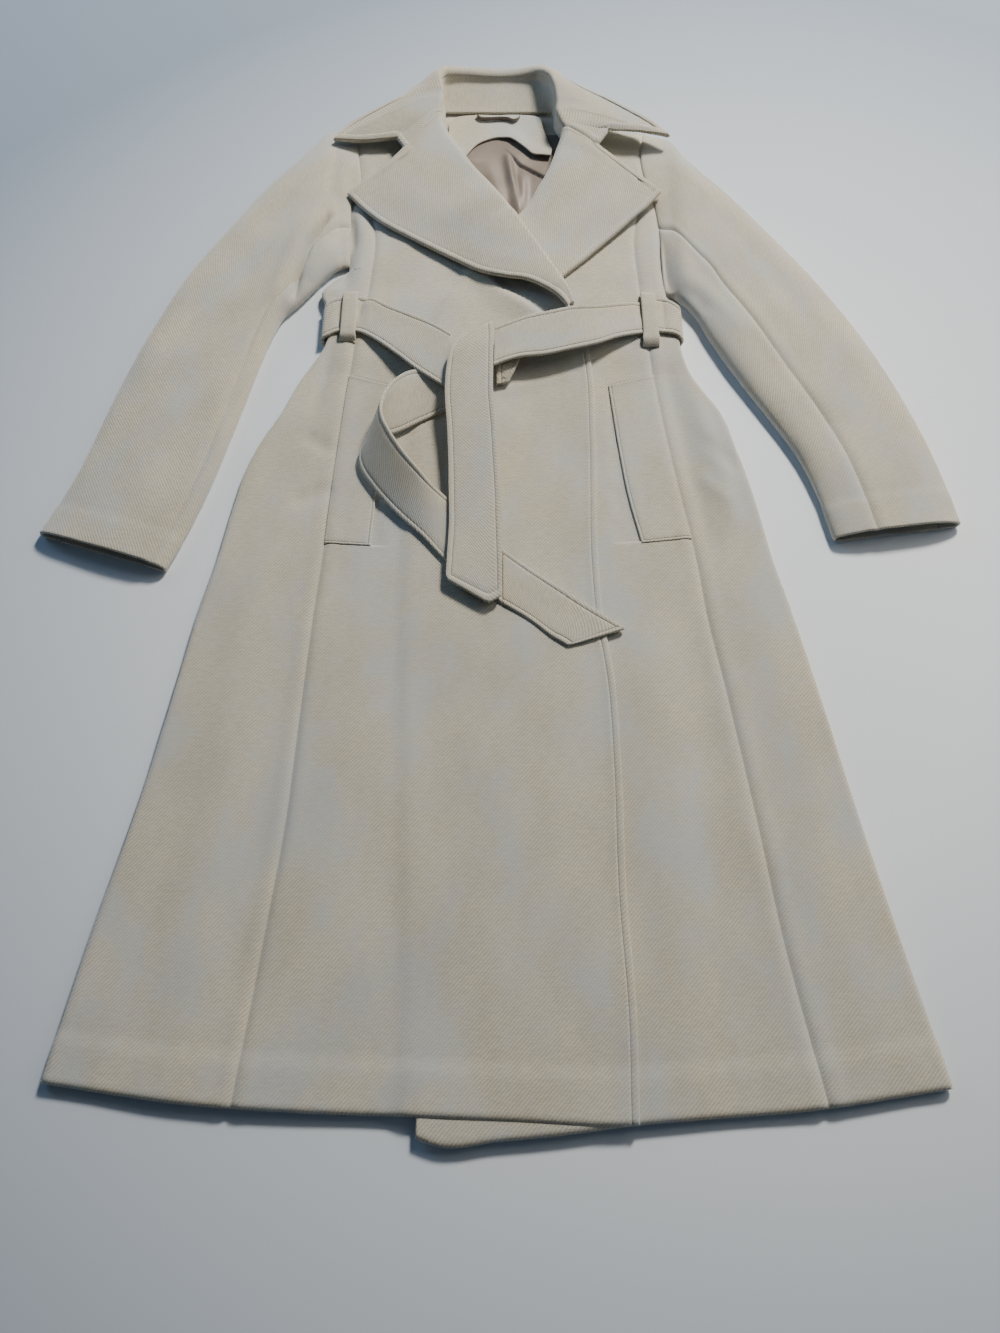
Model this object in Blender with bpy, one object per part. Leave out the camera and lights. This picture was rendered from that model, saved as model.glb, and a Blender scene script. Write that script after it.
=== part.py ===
"""Wrap coat laid flat on its back, belt tied loosely, sleeves at its sides.

Metres, +Z up. The coat's length runs along Y, hem at -Y and collar at +Y, and its front faces
up. Right and left are the wearer's, so the right front, which laps over the left one, is at -X.
Tables give places as millimetres across (x) and up from the hem (y), and heights (z) of the
middle of the cloth above the surface that the coat lies on.
"""
import math
from collections import namedtuple

import bmesh
import bpy
import numpy as np
from mathutils import Vector

for old in list(bpy.data.objects):
    bpy.data.objects.remove(old, do_unlink=True)

MM = 0.001

# Cloth thicknesses and the gap that parts two touching pieces, in mm
CLOTH = 2.0
DOUBLE = 3.0        # collar, lapels and belt: two layers pressed together
LINING = 0.8
GAP = 0.3
BACK_GAP = 1.6      # between the back and the side panels, underneath
ARMHOLE_GAP = 1.5   # where a sleeve's curve meets the body's
ROLL_GAP = 2.4      # between a front's edge and its lapel's roll, under the lapel

# Heights of the layers' middles, in mm
BACK = CLOTH / 2
FRONT = 6.8         # a front that lies over the back alone
OVER = CLOTH + 0.4  # what the right front climbs to lie on the left one
CROSSING = 9.0      # what it climbs more where the left lapel passes under it
WAIST = 784.0       # the belt's middle, up from the hem
FRONT_WAIST = 1.6   # the front's rise over the belt's back stretch

# The middle of the coat's box, up from the hem: the part's origin
MIDDLE = 580.5

OUTWARD = {"right": -1, "left": 1}

# Side fold and princess seam of each half, both measured from the middle
Side = namedtuple("Side", "y fold seam")
SIDES = {
    "right": [
        Side(0, 356, 206), Side(120, 336, 194), Side(240, 315, 183), Side(340, 299, 179),
        Side(433, 285, 175), Side(497, 273, 171), Side(562, 263, 168), Side(600, 256, 166),
        Side(635, 244, 164), Side(668, 228, 162), Side(722, 206, 158), Side(740, 196, 156),
        Side(758, 187.5, 155), Side(810, 187.5, 148), Side(838, 190, 144), Side(852, 183, 143),
        Side(866, 172, 142), Side(920, 172, 141), Side(990, 172, 157)],
    "left": [
        Side(0, 350, 252), Side(114, 329, 234), Side(238, 309, 220), Side(361, 289, 205),
        Side(440, 275, 194), Side(497, 263, 189), Side(569, 252, 179), Side(628, 240, 171),
        Side(678, 226, 165), Side(707, 209, 162), Side(732, 198, 160), Side(758, 192.5, 158),
        Side(800, 192.5, 155), Side(814, 189, 154), Side(824, 185, 154), Side(920, 185, 152),
        Side(990, 185, 164)],
}
SEAM_TOP = 988      # the princess seam runs out into the armhole here
TUCK = 26           # how far the side panels reach in under the coat

# Front armhole, from underarm to shoulder
Armhole = namedtuple("Armhole", "y out")
ARMHOLES = {
    "right": [
        Armhole(868, 168), Armhole(930, 170), Armhole(967, 171), Armhole(998, 163),
        Armhole(1043, 167), Armhole(1096, 173)],
    "left": [
        Armhole(828, 182), Armhole(860, 181), Armhole(930, 181), Armhole(968, 178),
        Armhole(1014, 169), Armhole(1056, 167), Armhole(1092, 173)],
}
NECK_POINT = 1108   # where a shoulder seam meets the collar

# The hem's lift towards the sides, and the left front's own hem where it hangs lower
Hem = namedtuple("Hem", "x y")
HEM = [Hem(-356, 30), Hem(-234, 14), Hem(-152, 9), Hem(-64, 6), Hem(8, 3), Hem(105, 0),
       Hem(152, 4), Hem(234, 10), Hem(350, 26)]
UNDERLAP_HEM = [Hem(-64, -9), Hem(-50, -14), Hem(0, -11), Hem(45, -7), Hem(103, 0),
                Hem(152, 4), Hem(234, 10), Hem(350, 26)]
HEM_REACH = 350     # the hem's shape has faded out this far up

# Free edges of the two fronts, below their lapels
Edge = namedtuple("Edge", "y x")
RIGHT_EDGE = [Edge(0, 106), Edge(76, 108), Edge(174, 105), Edge(291, 106), Edge(368, 104),
              Edge(439, 96), Edge(493, 94), Edge(633, 97), Edge(743, 95), Edge(796, 86)]
LEFT_EDGE = [Edge(0, -64), Edge(760, -64), Edge(800, -58), Edge(850, -34), Edge(895, -12)]

# Lapels: the roll's outermost line and its radius, and the lapel's own edge
Lapel = namedtuple("Lapel", "x y roll edge_x edge_y edge_z")
LAPELS = {
    "right": [
        Lapel(-69, 1084, 16.0, -106, 1031, 33), Lapel(-64, 1070, 15.0, -137, 994, 32),
        Lapel(-56, 1053, 14.0, -171, 959, 30), Lapel(-46, 1038, 12.6, -154, 940, 27),
        Lapel(-34, 1018, 11.0, -132, 922, 24), Lapel(-20, 998, 9.5, -107, 904, 23),
        Lapel(-4, 970, 7.5, -79, 886, 22), Lapel(10, 948, 5.5, -50, 867, 22),
        Lapel(24, 923, 4.2, -22, 851, 22.5), Lapel(38, 896, 3.8, 6, 840, 23),
        Lapel(50, 872, 3.8, 32, 833, 23.5), Lapel(61, 851, 3.8, 52, 826, 23.5),
        Lapel(71, 831, 3.5, 68, 818, 23), Lapel(78, 816, 3.2, 77, 811, 22)],
    "left": [
        Lapel(73, 1062, 15.5, 113, 1038, 33), Lapel(71, 1052, 14.5, 148, 999, 32),
        Lapel(67, 1040, 13.0, 182, 964, 30), Lapel(61, 1021, 11.0, 166, 947, 25),
        Lapel(53, 1001, 9.0, 149, 931, 22), Lapel(44, 983, 7.0, 131, 913, 19),
        Lapel(34, 963, 4.4, 111, 894, 15), Lapel(24, 949, 3.3, 96, 880, 13),
        Lapel(13, 936, 3.2, 82, 867, 12.2), Lapel(2, 923, 3.2, 66, 851, 11.5),
        Lapel(-8, 911, 3.2, 51, 837, 11.3)],
}
ROLL_WIDTH = 0.7    # a roll's width as a share of its height
ROLL_LIFT = 0.5     # a lapel is thicker than its front, so it starts this much higher

# Collar, from the right gorge round the back of the neck to the left one: the crest where it
# rolls over, and the edge of its fall. A row at each corner of the outline.
Collar = namedtuple("Collar", "x y z edge_x edge_y edge_z")
COLLAR = [
    Collar(-69, 1087, 40, -107, 1034, 33), Collar(-69, 1091, 41, -119, 1047, 34),
    Collar(-69, 1097, 42, -163, 1035, 34), Collar(-69, 1103, 43, -193, 1042, 34),
    Collar(-69, 1109, 44, -180, 1060, 34), Collar(-69, 1115, 45, -147, 1090, 35),
    Collar(-68, 1121, 47, -120, 1110, 35), Collar(-66, 1129, 48, -104, 1134, 24),
    Collar(-56, 1139, 50, -84, 1160, 10), Collar(-35, 1141, 50, -42, 1172, 5),
    Collar(0, 1140, 50, 0, 1174, 4), Collar(26, 1143, 50, 32, 1174, 5),
    Collar(47, 1145, 50, 66, 1168, 9), Collar(57, 1133, 48, 92, 1145, 20),
    Collar(60, 1119, 47, 110, 1123, 33), Collar(62, 1109, 45, 130, 1107, 36),
    Collar(64, 1100, 44, 148, 1095, 35), Collar(65, 1092, 43, 181, 1069, 34),
    Collar(67, 1085, 42, 196, 1050, 34), Collar(69, 1078, 40, 178, 1055, 34),
    Collar(71, 1071, 39, 127, 1060, 34), Collar(73, 1065, 38, 115, 1042, 33)]
GORGE_SHARES = (1, 0.6, 0.25)   # how far the rows next to the gorge seam turn to run along it
CREST = 4.0         # the collar's roll radius at its crest
FOOT = 3.9          # the lower rim of the collar's stand
STAND_LEAN = 13     # how far the stand's foot is in front of its crest at the back of the neck

# Wool facing inside the back of the neck: its outer and its lower edge
Facing = namedtuple("Facing", "x y low_x low_y")
FACING = [
    Facing(-66, 1046, -46, 1042), Facing(-62, 1085, -37, 1058), Facing(-57, 1110, -26, 1073),
    Facing(-30, 1118, -7, 1083), Facing(0, 1118, 5, 1083), Facing(26, 1118, 14, 1080),
    Facing(45, 1114, 29, 1064), Facing(52, 1100, 39, 1053), Facing(57, 1080, 50, 1051),
    Facing(62, 1062, 60, 1050)]
LINING_WIDTH = 150   # of what shows of the lining, and some more under the fronts
LINING_LENGTH = (895, 1092)
LINING_FOLD = 2.0

# Sleeves, from armhole to cuff: upper and under edge, height of the cloth's middle above the
# under layer, and the front seam's place across (0 at the upper edge, 1 at the under edge)
Sleeve = namedtuple("Sleeve", "x y in_x in_y rise seam")
SLEEVES = {
    "right": [
        Sleeve(-174, 1096, -170, 878, 5.8, 0.74), Sleeve(-200, 1093, -177, 873, 13, 0.75),
        Sleeve(-222, 1061, -185, 867, 17, 0.76), Sleeve(-246, 1028, -194, 857, 18, 0.78),
        Sleeve(-270, 994, -203, 844, 18, 0.81), Sleeve(-291, 958, -212, 831, 18, 0.84),
        Sleeve(-314, 916, -222, 818, 18, 0.87), Sleeve(-340, 868, -234, 803, 18, 0.88),
        Sleeve(-366, 802, -247, 765, 17, 0.89), Sleeve(-389, 728, -262, 699, 17, 0.90),
        Sleeve(-404, 668, -275, 640, 16, 0.90), Sleeve(-417, 612, -289, 581, 16, 0.90),
        Sleeve(-431, 568, -304, 532, 15, 0.90), Sleeve(-447, 527, -321, 487, 14, 0.90)],
    "left": [
        Sleeve(174, 1092, 187, 836, 5.8, 0.62), Sleeve(200, 1077, 193, 828, 13, 0.62),
        Sleeve(217, 1046, 200, 820, 17, 0.63), Sleeve(236, 1018, 208, 809, 18, 0.64),
        Sleeve(258, 990, 215, 797, 18, 0.64), Sleeve(283, 953, 222, 778, 18, 0.65),
        Sleeve(310, 911, 231, 757, 18, 0.65), Sleeve(340, 862, 243, 731, 18, 0.66),
        Sleeve(370, 806, 258, 702, 17, 0.67), Sleeve(394, 752, 275, 671, 17, 0.68),
        Sleeve(413, 700, 290, 642, 16, 0.68), Sleeve(429, 645, 304, 610, 16, 0.68),
        Sleeve(441, 590, 316, 568, 15, 0.68), Sleeve(449, 538, 325, 521, 14, 0.68)],
}
BACK_SEAM = 0.15    # the sleeve's back seam, across its underside
EDGE_HEIGHT = 0.3   # height of a sleeve's side folds, as a share of its rise

# Belt: each stretch by its upper edge (a) and its lower edge (b), in the order it is threaded
Belt = namedtuple("Belt", "ax ay az bx by bz")
BELT_RIGHT = [
    Belt(-152, 806, 1.55, -152, 757, 1.55), Belt(-178, 808, 1.55, -178, 759, 1.55),
    Belt(-183.4, 809, 1.65, -183.4, 761, 1.65), Belt(-187.5, 811, 2.6, -187.5, 763, 2.6),
    Belt(-189.9, 813, 6.4, -189.9, 766, 6.4), Belt(-187.6, 816, 10.4, -187.6, 769, 10.4),
    Belt(-183.4, 820, 11.6, -183.4, 771, 11.6), Belt(-175, 825, 12.2, -175, 774, 12.2),
    Belt(-163, 828, 12.2, -163, 775, 12.2), Belt(-141, 823, 13.2, -149, 775, 12.8),
    Belt(-119, 809, 16, -129, 759, 16), Belt(-96, 795, 19, -106, 737, 19),
    Belt(-74, 781, 22, -87, 717, 22), Belt(-51.5, 762, 25, -47.5, 685, 24.5)]
BELT_LEFT = [
    Belt(152, 806, 1.55, 152, 757, 1.55), Belt(183, 808, 1.55, 183, 759, 1.55),
    Belt(188.4, 810, 1.65, 188.4, 761, 1.65), Belt(192.5, 811, 2.6, 192.5, 764, 2.6),
    Belt(194.9, 812, 6.4, 194.9, 767, 6.4), Belt(192.6, 814, 10.4, 192.6, 769, 10.4),
    Belt(188.4, 817, 11.6, 188.4, 772, 11.6), Belt(180, 822, 12.2, 180, 774, 12.2),
    Belt(168, 824, 12.2, 167, 775, 12.2), Belt(152, 818, 12.8, 153, 773, 12.8),
    Belt(129, 812, 16.5, 127, 765, 16.5),
    Belt(102, 806, 20, 100, 752, 20), Belt(80, 802, 22.5, 73, 743, 22),
    Belt(52, 791, 24.5, 46, 734, 24), Belt(24, 778, 26, 19, 728, 26),
    Belt(3, 768, 27, 8, 723, 27), Belt(-12, 760, 27, -6, 716, 26)]
BELT_TAIL = [
    Belt(-44, 728, 16, -12, 738, 16), Belt(-47, 748, 18, -10, 761, 18),
    Belt(-49, 759, 24, -8, 773, 24), Belt(-50, 755, 31.5, -7, 769, 32),
    Belt(-52, 744, 34, -7, 752, 34.5), Belt(-55, 713, 33, -7, 713, 33.5),
    Belt(-56, 682, 31, -7, 682, 31.5), Belt(-53, 641, 28, -4, 641, 28),
    Belt(-51, 602, 25, -2, 602, 25), Belt(-50, 567, 22, 0, 567, 22),
    Belt(-49, 532, 20, 1, 532, 20), Belt(-50, 503, 19, 2, 487, 19),
    Belt(-51, 475, 18, 2, 445, 17.5)]
BELT_LOOP = [
    Belt(-40, 710, 19, -44, 674, 12.5), Belt(-62, 714, 18.5, -60, 668, 12),
    Belt(-88, 717, 19, -82, 656, 12.2), Belt(-103, 700, 27, -105, 641, 12.2),
    Belt(-114, 681, 34, -124, 634, 12.2), Belt(-118, 659, 38, -137, 626, 12.4),
    Belt(-117, 642, 39, -142, 610, 12.4), Belt(-105, 620, 38, -131, 589, 12.4),
    Belt(-94, 602, 36, -114, 564, 12.2), Belt(-81, 587, 32, -97, 543, 11.2),
    Belt(-67, 573, 25, -73, 519, 12.2), Belt(-51, 561, 16.5, -52, 492, 12.2),
    Belt(-24, 531, 13.6, -24, 467, 12.2), Belt(2, 506, 12.6, 2, 447, 12.2)]
BELT_END = [
    Belt(3.5, 504.5, 12.6, 3.5, 445.5, 12.2), Belt(29, 484, 12.2, 28, 429, 12.2),
    Belt(56, 463, 12.2, 50, 412, 12.2), Belt(86, 440, 12.2, 57, 407, 12.2),
    Belt(115, 418, 12.2, 64, 402, 12.2)]
BELT_TURN = [
    Belt(-4, 736, 19, 22, 737, 20), Belt(-4, 717, 18.5, 18, 722, 19.5),
    Belt(-4, 703, 15, 9, 704, 15)]
BELT_BACK = [Belt(-151.5, 806, 1.5, -151.5, 757, 1.5), Belt(151.5, 806, 1.5, 151.5, 757, 1.5)]

# Belt carriers: across, and up along the strip with the height of its middle over the front
CARRIER_PLACE = {"right": (-162, 796), "left": (160.5, 796)}
CARRIER_WIDTH = 16
Carrier = namedtuple("Carrier", "up rise")
CARRIER = [Carrier(-41, 2.4), Carrier(-36, 3.4), Carrier(-30, 6.4), Carrier(-20, 7.4),
           Carrier(12, 7.4), Carrier(28, 7.4), Carrier(37, 6.4), Carrier(43, 3.4),
           Carrier(49, 2.4)]

# Pocket welts, from top to bottom, each between this inner line and the princess seam
Pocket = namedtuple("Pocket", "x y seam_y")
POCKETS = {
    "right": [Pocket(-116, 708, 721), Pocket(-120, 625, 640), Pocket(-123, 560, 575),
              Pocket(-125, 513, 516)],
    "left": [Pocket(113, 707, 720), Pocket(120, 628, 645), Pocket(126, 575, 590),
             Pocket(137, 516, 521)],
}
WELT_INSET = 1.5    # from the princess seam

# Hanger loop at the back of the neck
Hanger = namedtuple("Hanger", "x y")
HANGER = [Hanger(-26, 1117), Hanger(-22, 1112.5), Hanger(0, 1111), Hanger(18, 1111.5),
          Hanger(22, 1116)]
HANGER_TAPE = (5.8, 10.8)   # lower and upper edge of the tape, above the surface


def material(name, colour, roughness):
    finish = bpy.data.materials.new(name)
    finish.use_nodes = True
    shader = finish.node_tree.nodes["Principled BSDF"]
    shader.inputs["Base Color"].default_value = (*colour, 1)
    shader.inputs["Roughness"].default_value = roughness
    shader.inputs["Metallic"].default_value = 0
    return finish


WOOL = material("oatmeal wool twill", (0.62, 0.57, 0.49), 0.92)
SATIN = material("satin lining", (0.60, 0.53, 0.47), 0.45)


def blend(low, high, x):
    """0 below low, 1 above high, smooth between."""
    t = min(max((x - low) / (high - low), 0), 1)
    return t * t * (3 - 2 * t)


def read(table, y, column):
    """A named column of a table at y, straight between its rows."""
    return float(np.interp(y, [row[0] for row in table], [getattr(row, column) for row in table]))


def straight(table, t):
    """The table's row at t, from 0 to 1, straight between rows."""
    place = t * (len(table) - 1)
    return [float(np.interp(place, range(len(table)), column)) for column in zip(*table)]


def smooth(table, t):
    """The table's row at t, from 0 to 1, on a curve that doesn't overshoot uneven rows."""
    rows = np.array(table, dtype=float)
    last = len(rows) - 1
    step = np.linalg.norm(np.diff(rows, axis=0), axis=1) + 1e-9
    i = min(int(t * last), last - 1)
    f = t * last - i

    def slope(k):
        if k == 0 or k == last:
            j = min(k, last - 1)
            return (rows[j + 1] - rows[j]) / step[j]
        before = (rows[k] - rows[k - 1]) / step[k - 1]
        after = (rows[k + 1] - rows[k]) / step[k]
        return (before * step[k] + after * step[k - 1]) / (step[k] + step[k - 1])

    h00 = (1 + 2 * f) * (1 - f) ** 2
    h01 = f * f * (3 - 2 * f)
    h10 = f * (1 - f) ** 2
    h11 = f * f * (f - 1)
    return list(h00 * rows[i] + h01 * rows[i + 1]
                + step[i] * (h10 * slope(i) + h11 * slope(i + 1)))


def cloth(name, columns, rows, place, thickness, finish):
    """A closed wall about a mid-surface. place(u, v) gives its points in mm, u running across
    and v along, both from 0 to 1."""
    form = bmesh.new()
    bmesh.ops.create_grid(form, x_segments=columns, y_segments=rows, size=0.5)
    for vertex in form.verts:
        x, y, z = place(vertex.co.x + 0.5, vertex.co.y + 0.5)
        vertex.co = Vector((x, y - MIDDLE, z)) * MM
    mesh = bpy.data.meshes.new(name)
    form.to_mesh(mesh)
    form.free()
    mesh.materials.append(finish)
    mesh.shade_smooth()
    piece = bpy.data.objects.new(name, mesh)
    bpy.context.scene.collection.objects.link(piece)
    wall = piece.modifiers.new("wall", "SOLIDIFY")
    wall.thickness = thickness * MM
    wall.offset = 0
    wall.use_quality_normals = True
    return piece


def waist_lift(y):
    return 1 - blend(34, 64, abs(y - WAIST))


def back_height(y):
    return BACK + (DOUBLE + GAP) * waist_lift(y)


def front_height(y):
    return FRONT + FRONT_WAIST * waist_lift(y)


def hem_shift(hem, x, y):
    """What the hem's curve adds to a point's y, fading out up the skirt."""
    drop = read(hem, x, "y")
    return drop * (1 - blend(0, HEM_REACH, y))


def unit(vector):
    vector = np.array(vector, dtype=float)
    return vector / np.linalg.norm(vector)


def roll_frames(side):
    """Each lapel row's base on the front, with the direction from it towards the V."""
    table = LAPELS[side]
    frames = []
    for i, row in enumerate(table):
        before, after = table[max(i - 1, 0)], table[min(i + 1, len(table) - 1)]
        along_x, along_y = after.x - before.x, after.y - before.y
        turn = OUTWARD[side]
        square = unit((turn * along_y, -turn * along_x))
        gorge = unit((row.x - row.edge_x, row.y - row.edge_y))
        share = GORGE_SHARES[i] if i < len(GORGE_SHARES) else 0
        toward = unit(gorge * share + square * (1 - share))
        base = np.array((row.x, row.y)) - toward * ROLL_WIDTH * row.roll
        frames.append((*base, *toward))
    return frames


def front_edge(side, y):
    """A front's inner edge: its free edge, then the base of its lapel's roll."""
    lower = RIGHT_EDGE if side == "right" else LEFT_EDGE
    upper = [(base_y, base_x) for base_x, base_y, _, _ in reversed(roll_frames(side))]
    line = [(row.y, row.x) for row in lower if row.y < upper[0][0]] + upper
    x = float(np.interp(y, [p[0] for p in line], [p[1] for p in line]))
    return x + OUTWARD[side] * (ROLL_GAP if y > lower[-1].y else 0)


def right_front_height(x, y):
    """The right front climbs over the left one, and over the left lapel's hidden end."""
    over = blend(-18, -6, x - front_edge("left", y)) * (1 - blend(950, 985, y))
    start, end = np.array((18.0, 934.0)), np.array((58.0, 856.0))
    run = end - start
    along = min(max(np.dot((x, y) - start, run) / np.dot(run, run), 0), 1)
    apart = float(np.linalg.norm((x, y) - start - along * run))
    return front_height(y) + OVER * over + CROSSING * (1 - blend(32, 88, apart))


def outer_line(side, y):
    """A front's outer edge: the princess seam, then the armhole."""
    if y < SEAM_TOP:
        return read(SIDES[side], y, "seam")
    return read(ARMHOLES[side], y, "out")


def shoulder(side):
    return ARMHOLES[side][-1].y


def levels_to_seam_top(side):
    """Rows that a front and its side panel share, so that their seam's edges run together."""
    underarm = ARMHOLES[side][0].y
    rows = [0, 100, 200, 300, 400, 480, 550, 600, 640, 680, 722, 740, 758, 784, 807, 824]
    rows += [underarm + step for step in (-27, -14, -3, 6, 30)] + [920, 955, SEAM_TOP - 3]
    return sorted(rows)


def front(side):
    """Front panel from princess seam to free edge or lapel roll, and up to the shoulder. Its
    columns crowd together where the right front climbs over the left one."""
    sign = OUTWARD[side]
    levels = levels_to_seam_top(side) + [1012, 1034, 1047, 1057, 1065, 1075, shoulder(side) - 10]
    levels += [shoulder(side)]
    count = 9

    def place(u, v):
        y = float(np.interp(v * (len(levels) - 1), range(len(levels)), levels))
        outer = sign * (outer_line(side, y) - GAP / 2)
        inner = front_edge(side, y)
        span = inner - outer
        shares = [0, 0.15, 0.3, 0.45, 0.6, 0.7, 0.8, 0.9, 1]
        if side == "right":
            step = front_edge("left", y) - outer
            low, high = min(step - 18, 0.75 * span), min(step - 6, 0.85 * span)
            shares = [0, low * 0.33 / span, low * 0.67 / span, low / span, high / span]
            shares += list(np.linspace(high / span, 1, count - 4)[1:])
        x = outer + span * shares[round(u * (count - 1))]
        hem = HEM if side == "right" else UNDERLAP_HEM
        z = right_front_height(x, y) if side == "right" else front_height(y)
        z -= (FRONT - BACK - CLOTH - GAP) * blend(shoulder(side) - 14, shoulder(side), y)
        rise = (NECK_POINT - shoulder(side)) * u * blend(1040, shoulder(side), y)
        return x, y + hem_shift(hem, x, y) + rise, z

    cloth("front_" + side, count - 1, len(levels) - 1, place, CLOTH, WOOL)


def side_panel(side):
    """Side panel from the princess seam out, round the side fold and in under the coat. Above
    the underarm it ends at the armhole."""
    sign = OUTWARD[side]
    underarm = ARMHOLES[side][0].y
    levels = levels_to_seam_top(side)
    count = 13
    spread = [0, 0.25, 0.48, 0.68, 0.82, 0.9, 0.95]     # shares of the flat top, then the fold

    def section(y):
        """Points across: out along the top, round the fold and in again."""
        seam = read(SIDES[side], y, "seam") + GAP / 2
        top, low = front_height(y), back_height(y)
        if y > underarm:
            edge = read(ARMHOLES[side], y, "out") - GAP
            return [(seam + (edge - seam) * k / (count - 1), top) for k in range(count)]
        half = (top - low) / 2
        turn = read(SIDES[side], y, "fold") - CLOTH / 2 - 1.5 * half
        points = [(seam + (turn - seam) * share, top) for share in spread]
        for angle in (90, 45, 0, -45, -90):
            bend = math.radians(angle)
            points.append((turn + 1.5 * half * math.cos(bend), low + half + half * math.sin(bend)))
        inward = turn - TUCK * (1 - 0.9 * blend(underarm - 40, underarm - 5, y))
        return points + [(inward, low)]

    def place(u, v):
        y = float(np.interp(v * (len(levels) - 1), range(len(levels)), levels))
        x, z = section(y)[round(u * (count - 1))]
        hem = HEM if side == "right" else UNDERLAP_HEM
        return sign * x, y + hem_shift(hem, sign * x, y), z

    cloth("side_" + side, count - 1, len(levels) - 1, place, CLOTH, WOOL)


def back(side):
    """Flat back panel from the centre seam to the side panel's edge, and to the armhole."""
    sign = OUTWARD[side]
    underarm = ARMHOLES[side][0].y
    levels = [y for y in levels_to_seam_top(side) if y < underarm + 10]
    levels += [underarm + 20, 920, 960, 1020, 1060, shoulder(side)]

    def place(u, v):
        y = levels[round(v * (len(levels) - 1))]
        if y > underarm + 10:
            outer = read(ARMHOLES[side], y, "out") - ARMHOLE_GAP
        else:
            half = (front_height(y) - back_height(y)) / 2
            outer = read(SIDES[side], y, "fold") - CLOTH / 2 - 1.5 * half - TUCK - BACK_GAP
        x = sign * (GAP / 2 + (outer - GAP / 2) * u)
        rise = (1130 - shoulder(side)) * (1 - blend(0.35, 1, u)) * blend(1020, shoulder(side), y)
        return x, y + hem_shift(HEM, x, y) + 4 * (1 - blend(0, 60, y)) + rise, back_height(y)

    cloth("back_" + side, 4, len(levels) - 1, place, CLOTH, WOOL)


def bezier(points, t):
    a, b, c, d = (np.array(p, dtype=float) for p in points)
    return (1 - t) ** 3 * a + 3 * t * (1 - t) ** 2 * b + 3 * t * t * (1 - t) * c + t ** 3 * d


def lapel(side):
    """Lapel turned back over its front: half a turn of roll, then the face out to its edge."""
    table = LAPELS[side]
    frames = roll_frames(side)
    turns = 5
    faces = 6

    def place(u, v):
        x, y, roll = smooth([row[:3] for row in table], v)
        edge = np.array(straight([row[3:] for row in table], v))
        base_x, base_y, toward_x, toward_y = smooth(frames, v)
        size = math.hypot(toward_x, toward_y)
        toward = np.array((toward_x / size, toward_y / size, 0))
        height = right_front_height(base_x, base_y) if side == "right" else front_height(base_y)
        low = np.array((base_x, base_y, height + ROLL_LIFT))
        k = round(u * (turns + faces))
        up = np.array((0, 0, roll))
        if k <= turns:
            angle = math.pi * (k / turns - 0.5)
            return (low + up + up * math.sin(angle)
                    + toward * ROLL_WIDTH * roll * math.cos(angle))
        top = low + 2 * up
        reach = np.linalg.norm(edge - top)
        near = top - toward * 0.3 * reach
        far = edge + 0.35 * (top - edge)
        return bezier((top, near, far, edge), (k - turns) / faces)

    cloth("lapel_" + side, turns + faces, len(table) - 1, place, DOUBLE, WOOL)


def collar_outward(v):
    """The crest's place at v, and the level direction out from the neck there, which turns to
    run along the gorge seams at both ends."""
    last = len(COLLAR) - 1
    here = np.array(smooth([row[:3] for row in COLLAR], v))
    ahead = np.array(smooth([row[:3] for row in COLLAR], min(v + 0.02, 1)))
    behind = np.array(smooth([row[:3] for row in COLLAR], max(v - 0.02, 0)))
    run = ahead - behind
    out = unit((-run[1], run[0], 0))
    to_end = min(v, 1 - v) * last
    end = COLLAR[0] if v < 0.5 else COLLAR[-1]
    share = float(np.interp(to_end, range(len(GORGE_SHARES) + 1), (*GORGE_SHARES, 0)))
    gorge = unit((end.edge_x - end.x, end.edge_y - end.y, 0))
    return here, unit(gorge * share + out * (1 - share))


def collar():
    """Stand that rises from the neck seam, and fall that rolls over its top."""
    rows = len(COLLAR) - 1
    rolls = 3
    faces = 6

    def fall(u, v):
        crest, out = collar_outward(v)
        edge = np.array(straight([row[3:] for row in COLLAR], v))
        k = round(u * (rolls + faces))
        if k < rolls:
            angle = math.pi * (1 - 0.5 * k / rolls)
            return crest + CREST * (out * math.cos(angle)
                                    + np.array((0, 0, math.sin(angle) - 1)))
        reach = np.linalg.norm(edge - crest)
        near = crest + out * 0.3 * reach
        far = edge + 0.35 * (crest - edge) + np.array((0, 0, 1.5))
        return bezier((crest, near, far, edge), (k - rolls) / faces)

    def stand(u, v):
        crest, out = collar_outward(v)
        top = crest - CREST * out - np.array((0, 0, CREST + 2 * GAP))
        lean = STAND_LEAN * max(out[1], 0) ** 2
        foot = np.array((top[0], top[1] - lean, FOOT))
        return foot + (top - foot) * u

    cloth("collar_fall", rolls + faces, rows, fall, DOUBLE, WOOL)
    cloth("collar_stand", 3, rows, stand, DOUBLE, WOOL)


def neck_inside():
    """Facing, lining and hanger loop, which lie on the back and show in the V."""
    lining_height = BACK + (CLOTH + LINING) / 2 + GAP

    def facing(u, v):
        x, y, low_x, low_y = smooth(FACING, v)
        height = lining_height + (CLOTH + LINING) / 2 + GAP
        return low_x + (x - low_x) * u, low_y + (y - low_y) * u, height

    def lining(u, v):
        x = LINING_WIDTH * (u - 0.5)
        y = LINING_LENGTH[0] + (LINING_LENGTH[1] - LINING_LENGTH[0]) * v
        fold = math.exp(-((x - 8 + 0.1 * (y - 985)) / 9) ** 2) * blend(930, 960, y)
        fold *= 1 - blend(1010, 1040, y)
        return x, y, lining_height + LINING_FOLD * fold

    def hanger(u, v):
        x, y = smooth(HANGER, v)
        low, high = HANGER_TAPE
        return x, y, low + (high - low) * u

    cloth("neck_facing", 2, 18, facing, CLOTH, WOOL)
    cloth("back_lining", 12, 6, lining, LINING, SATIN)
    cloth("hanger_loop", 1, 8, hanger, LINING, SATIN)


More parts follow.
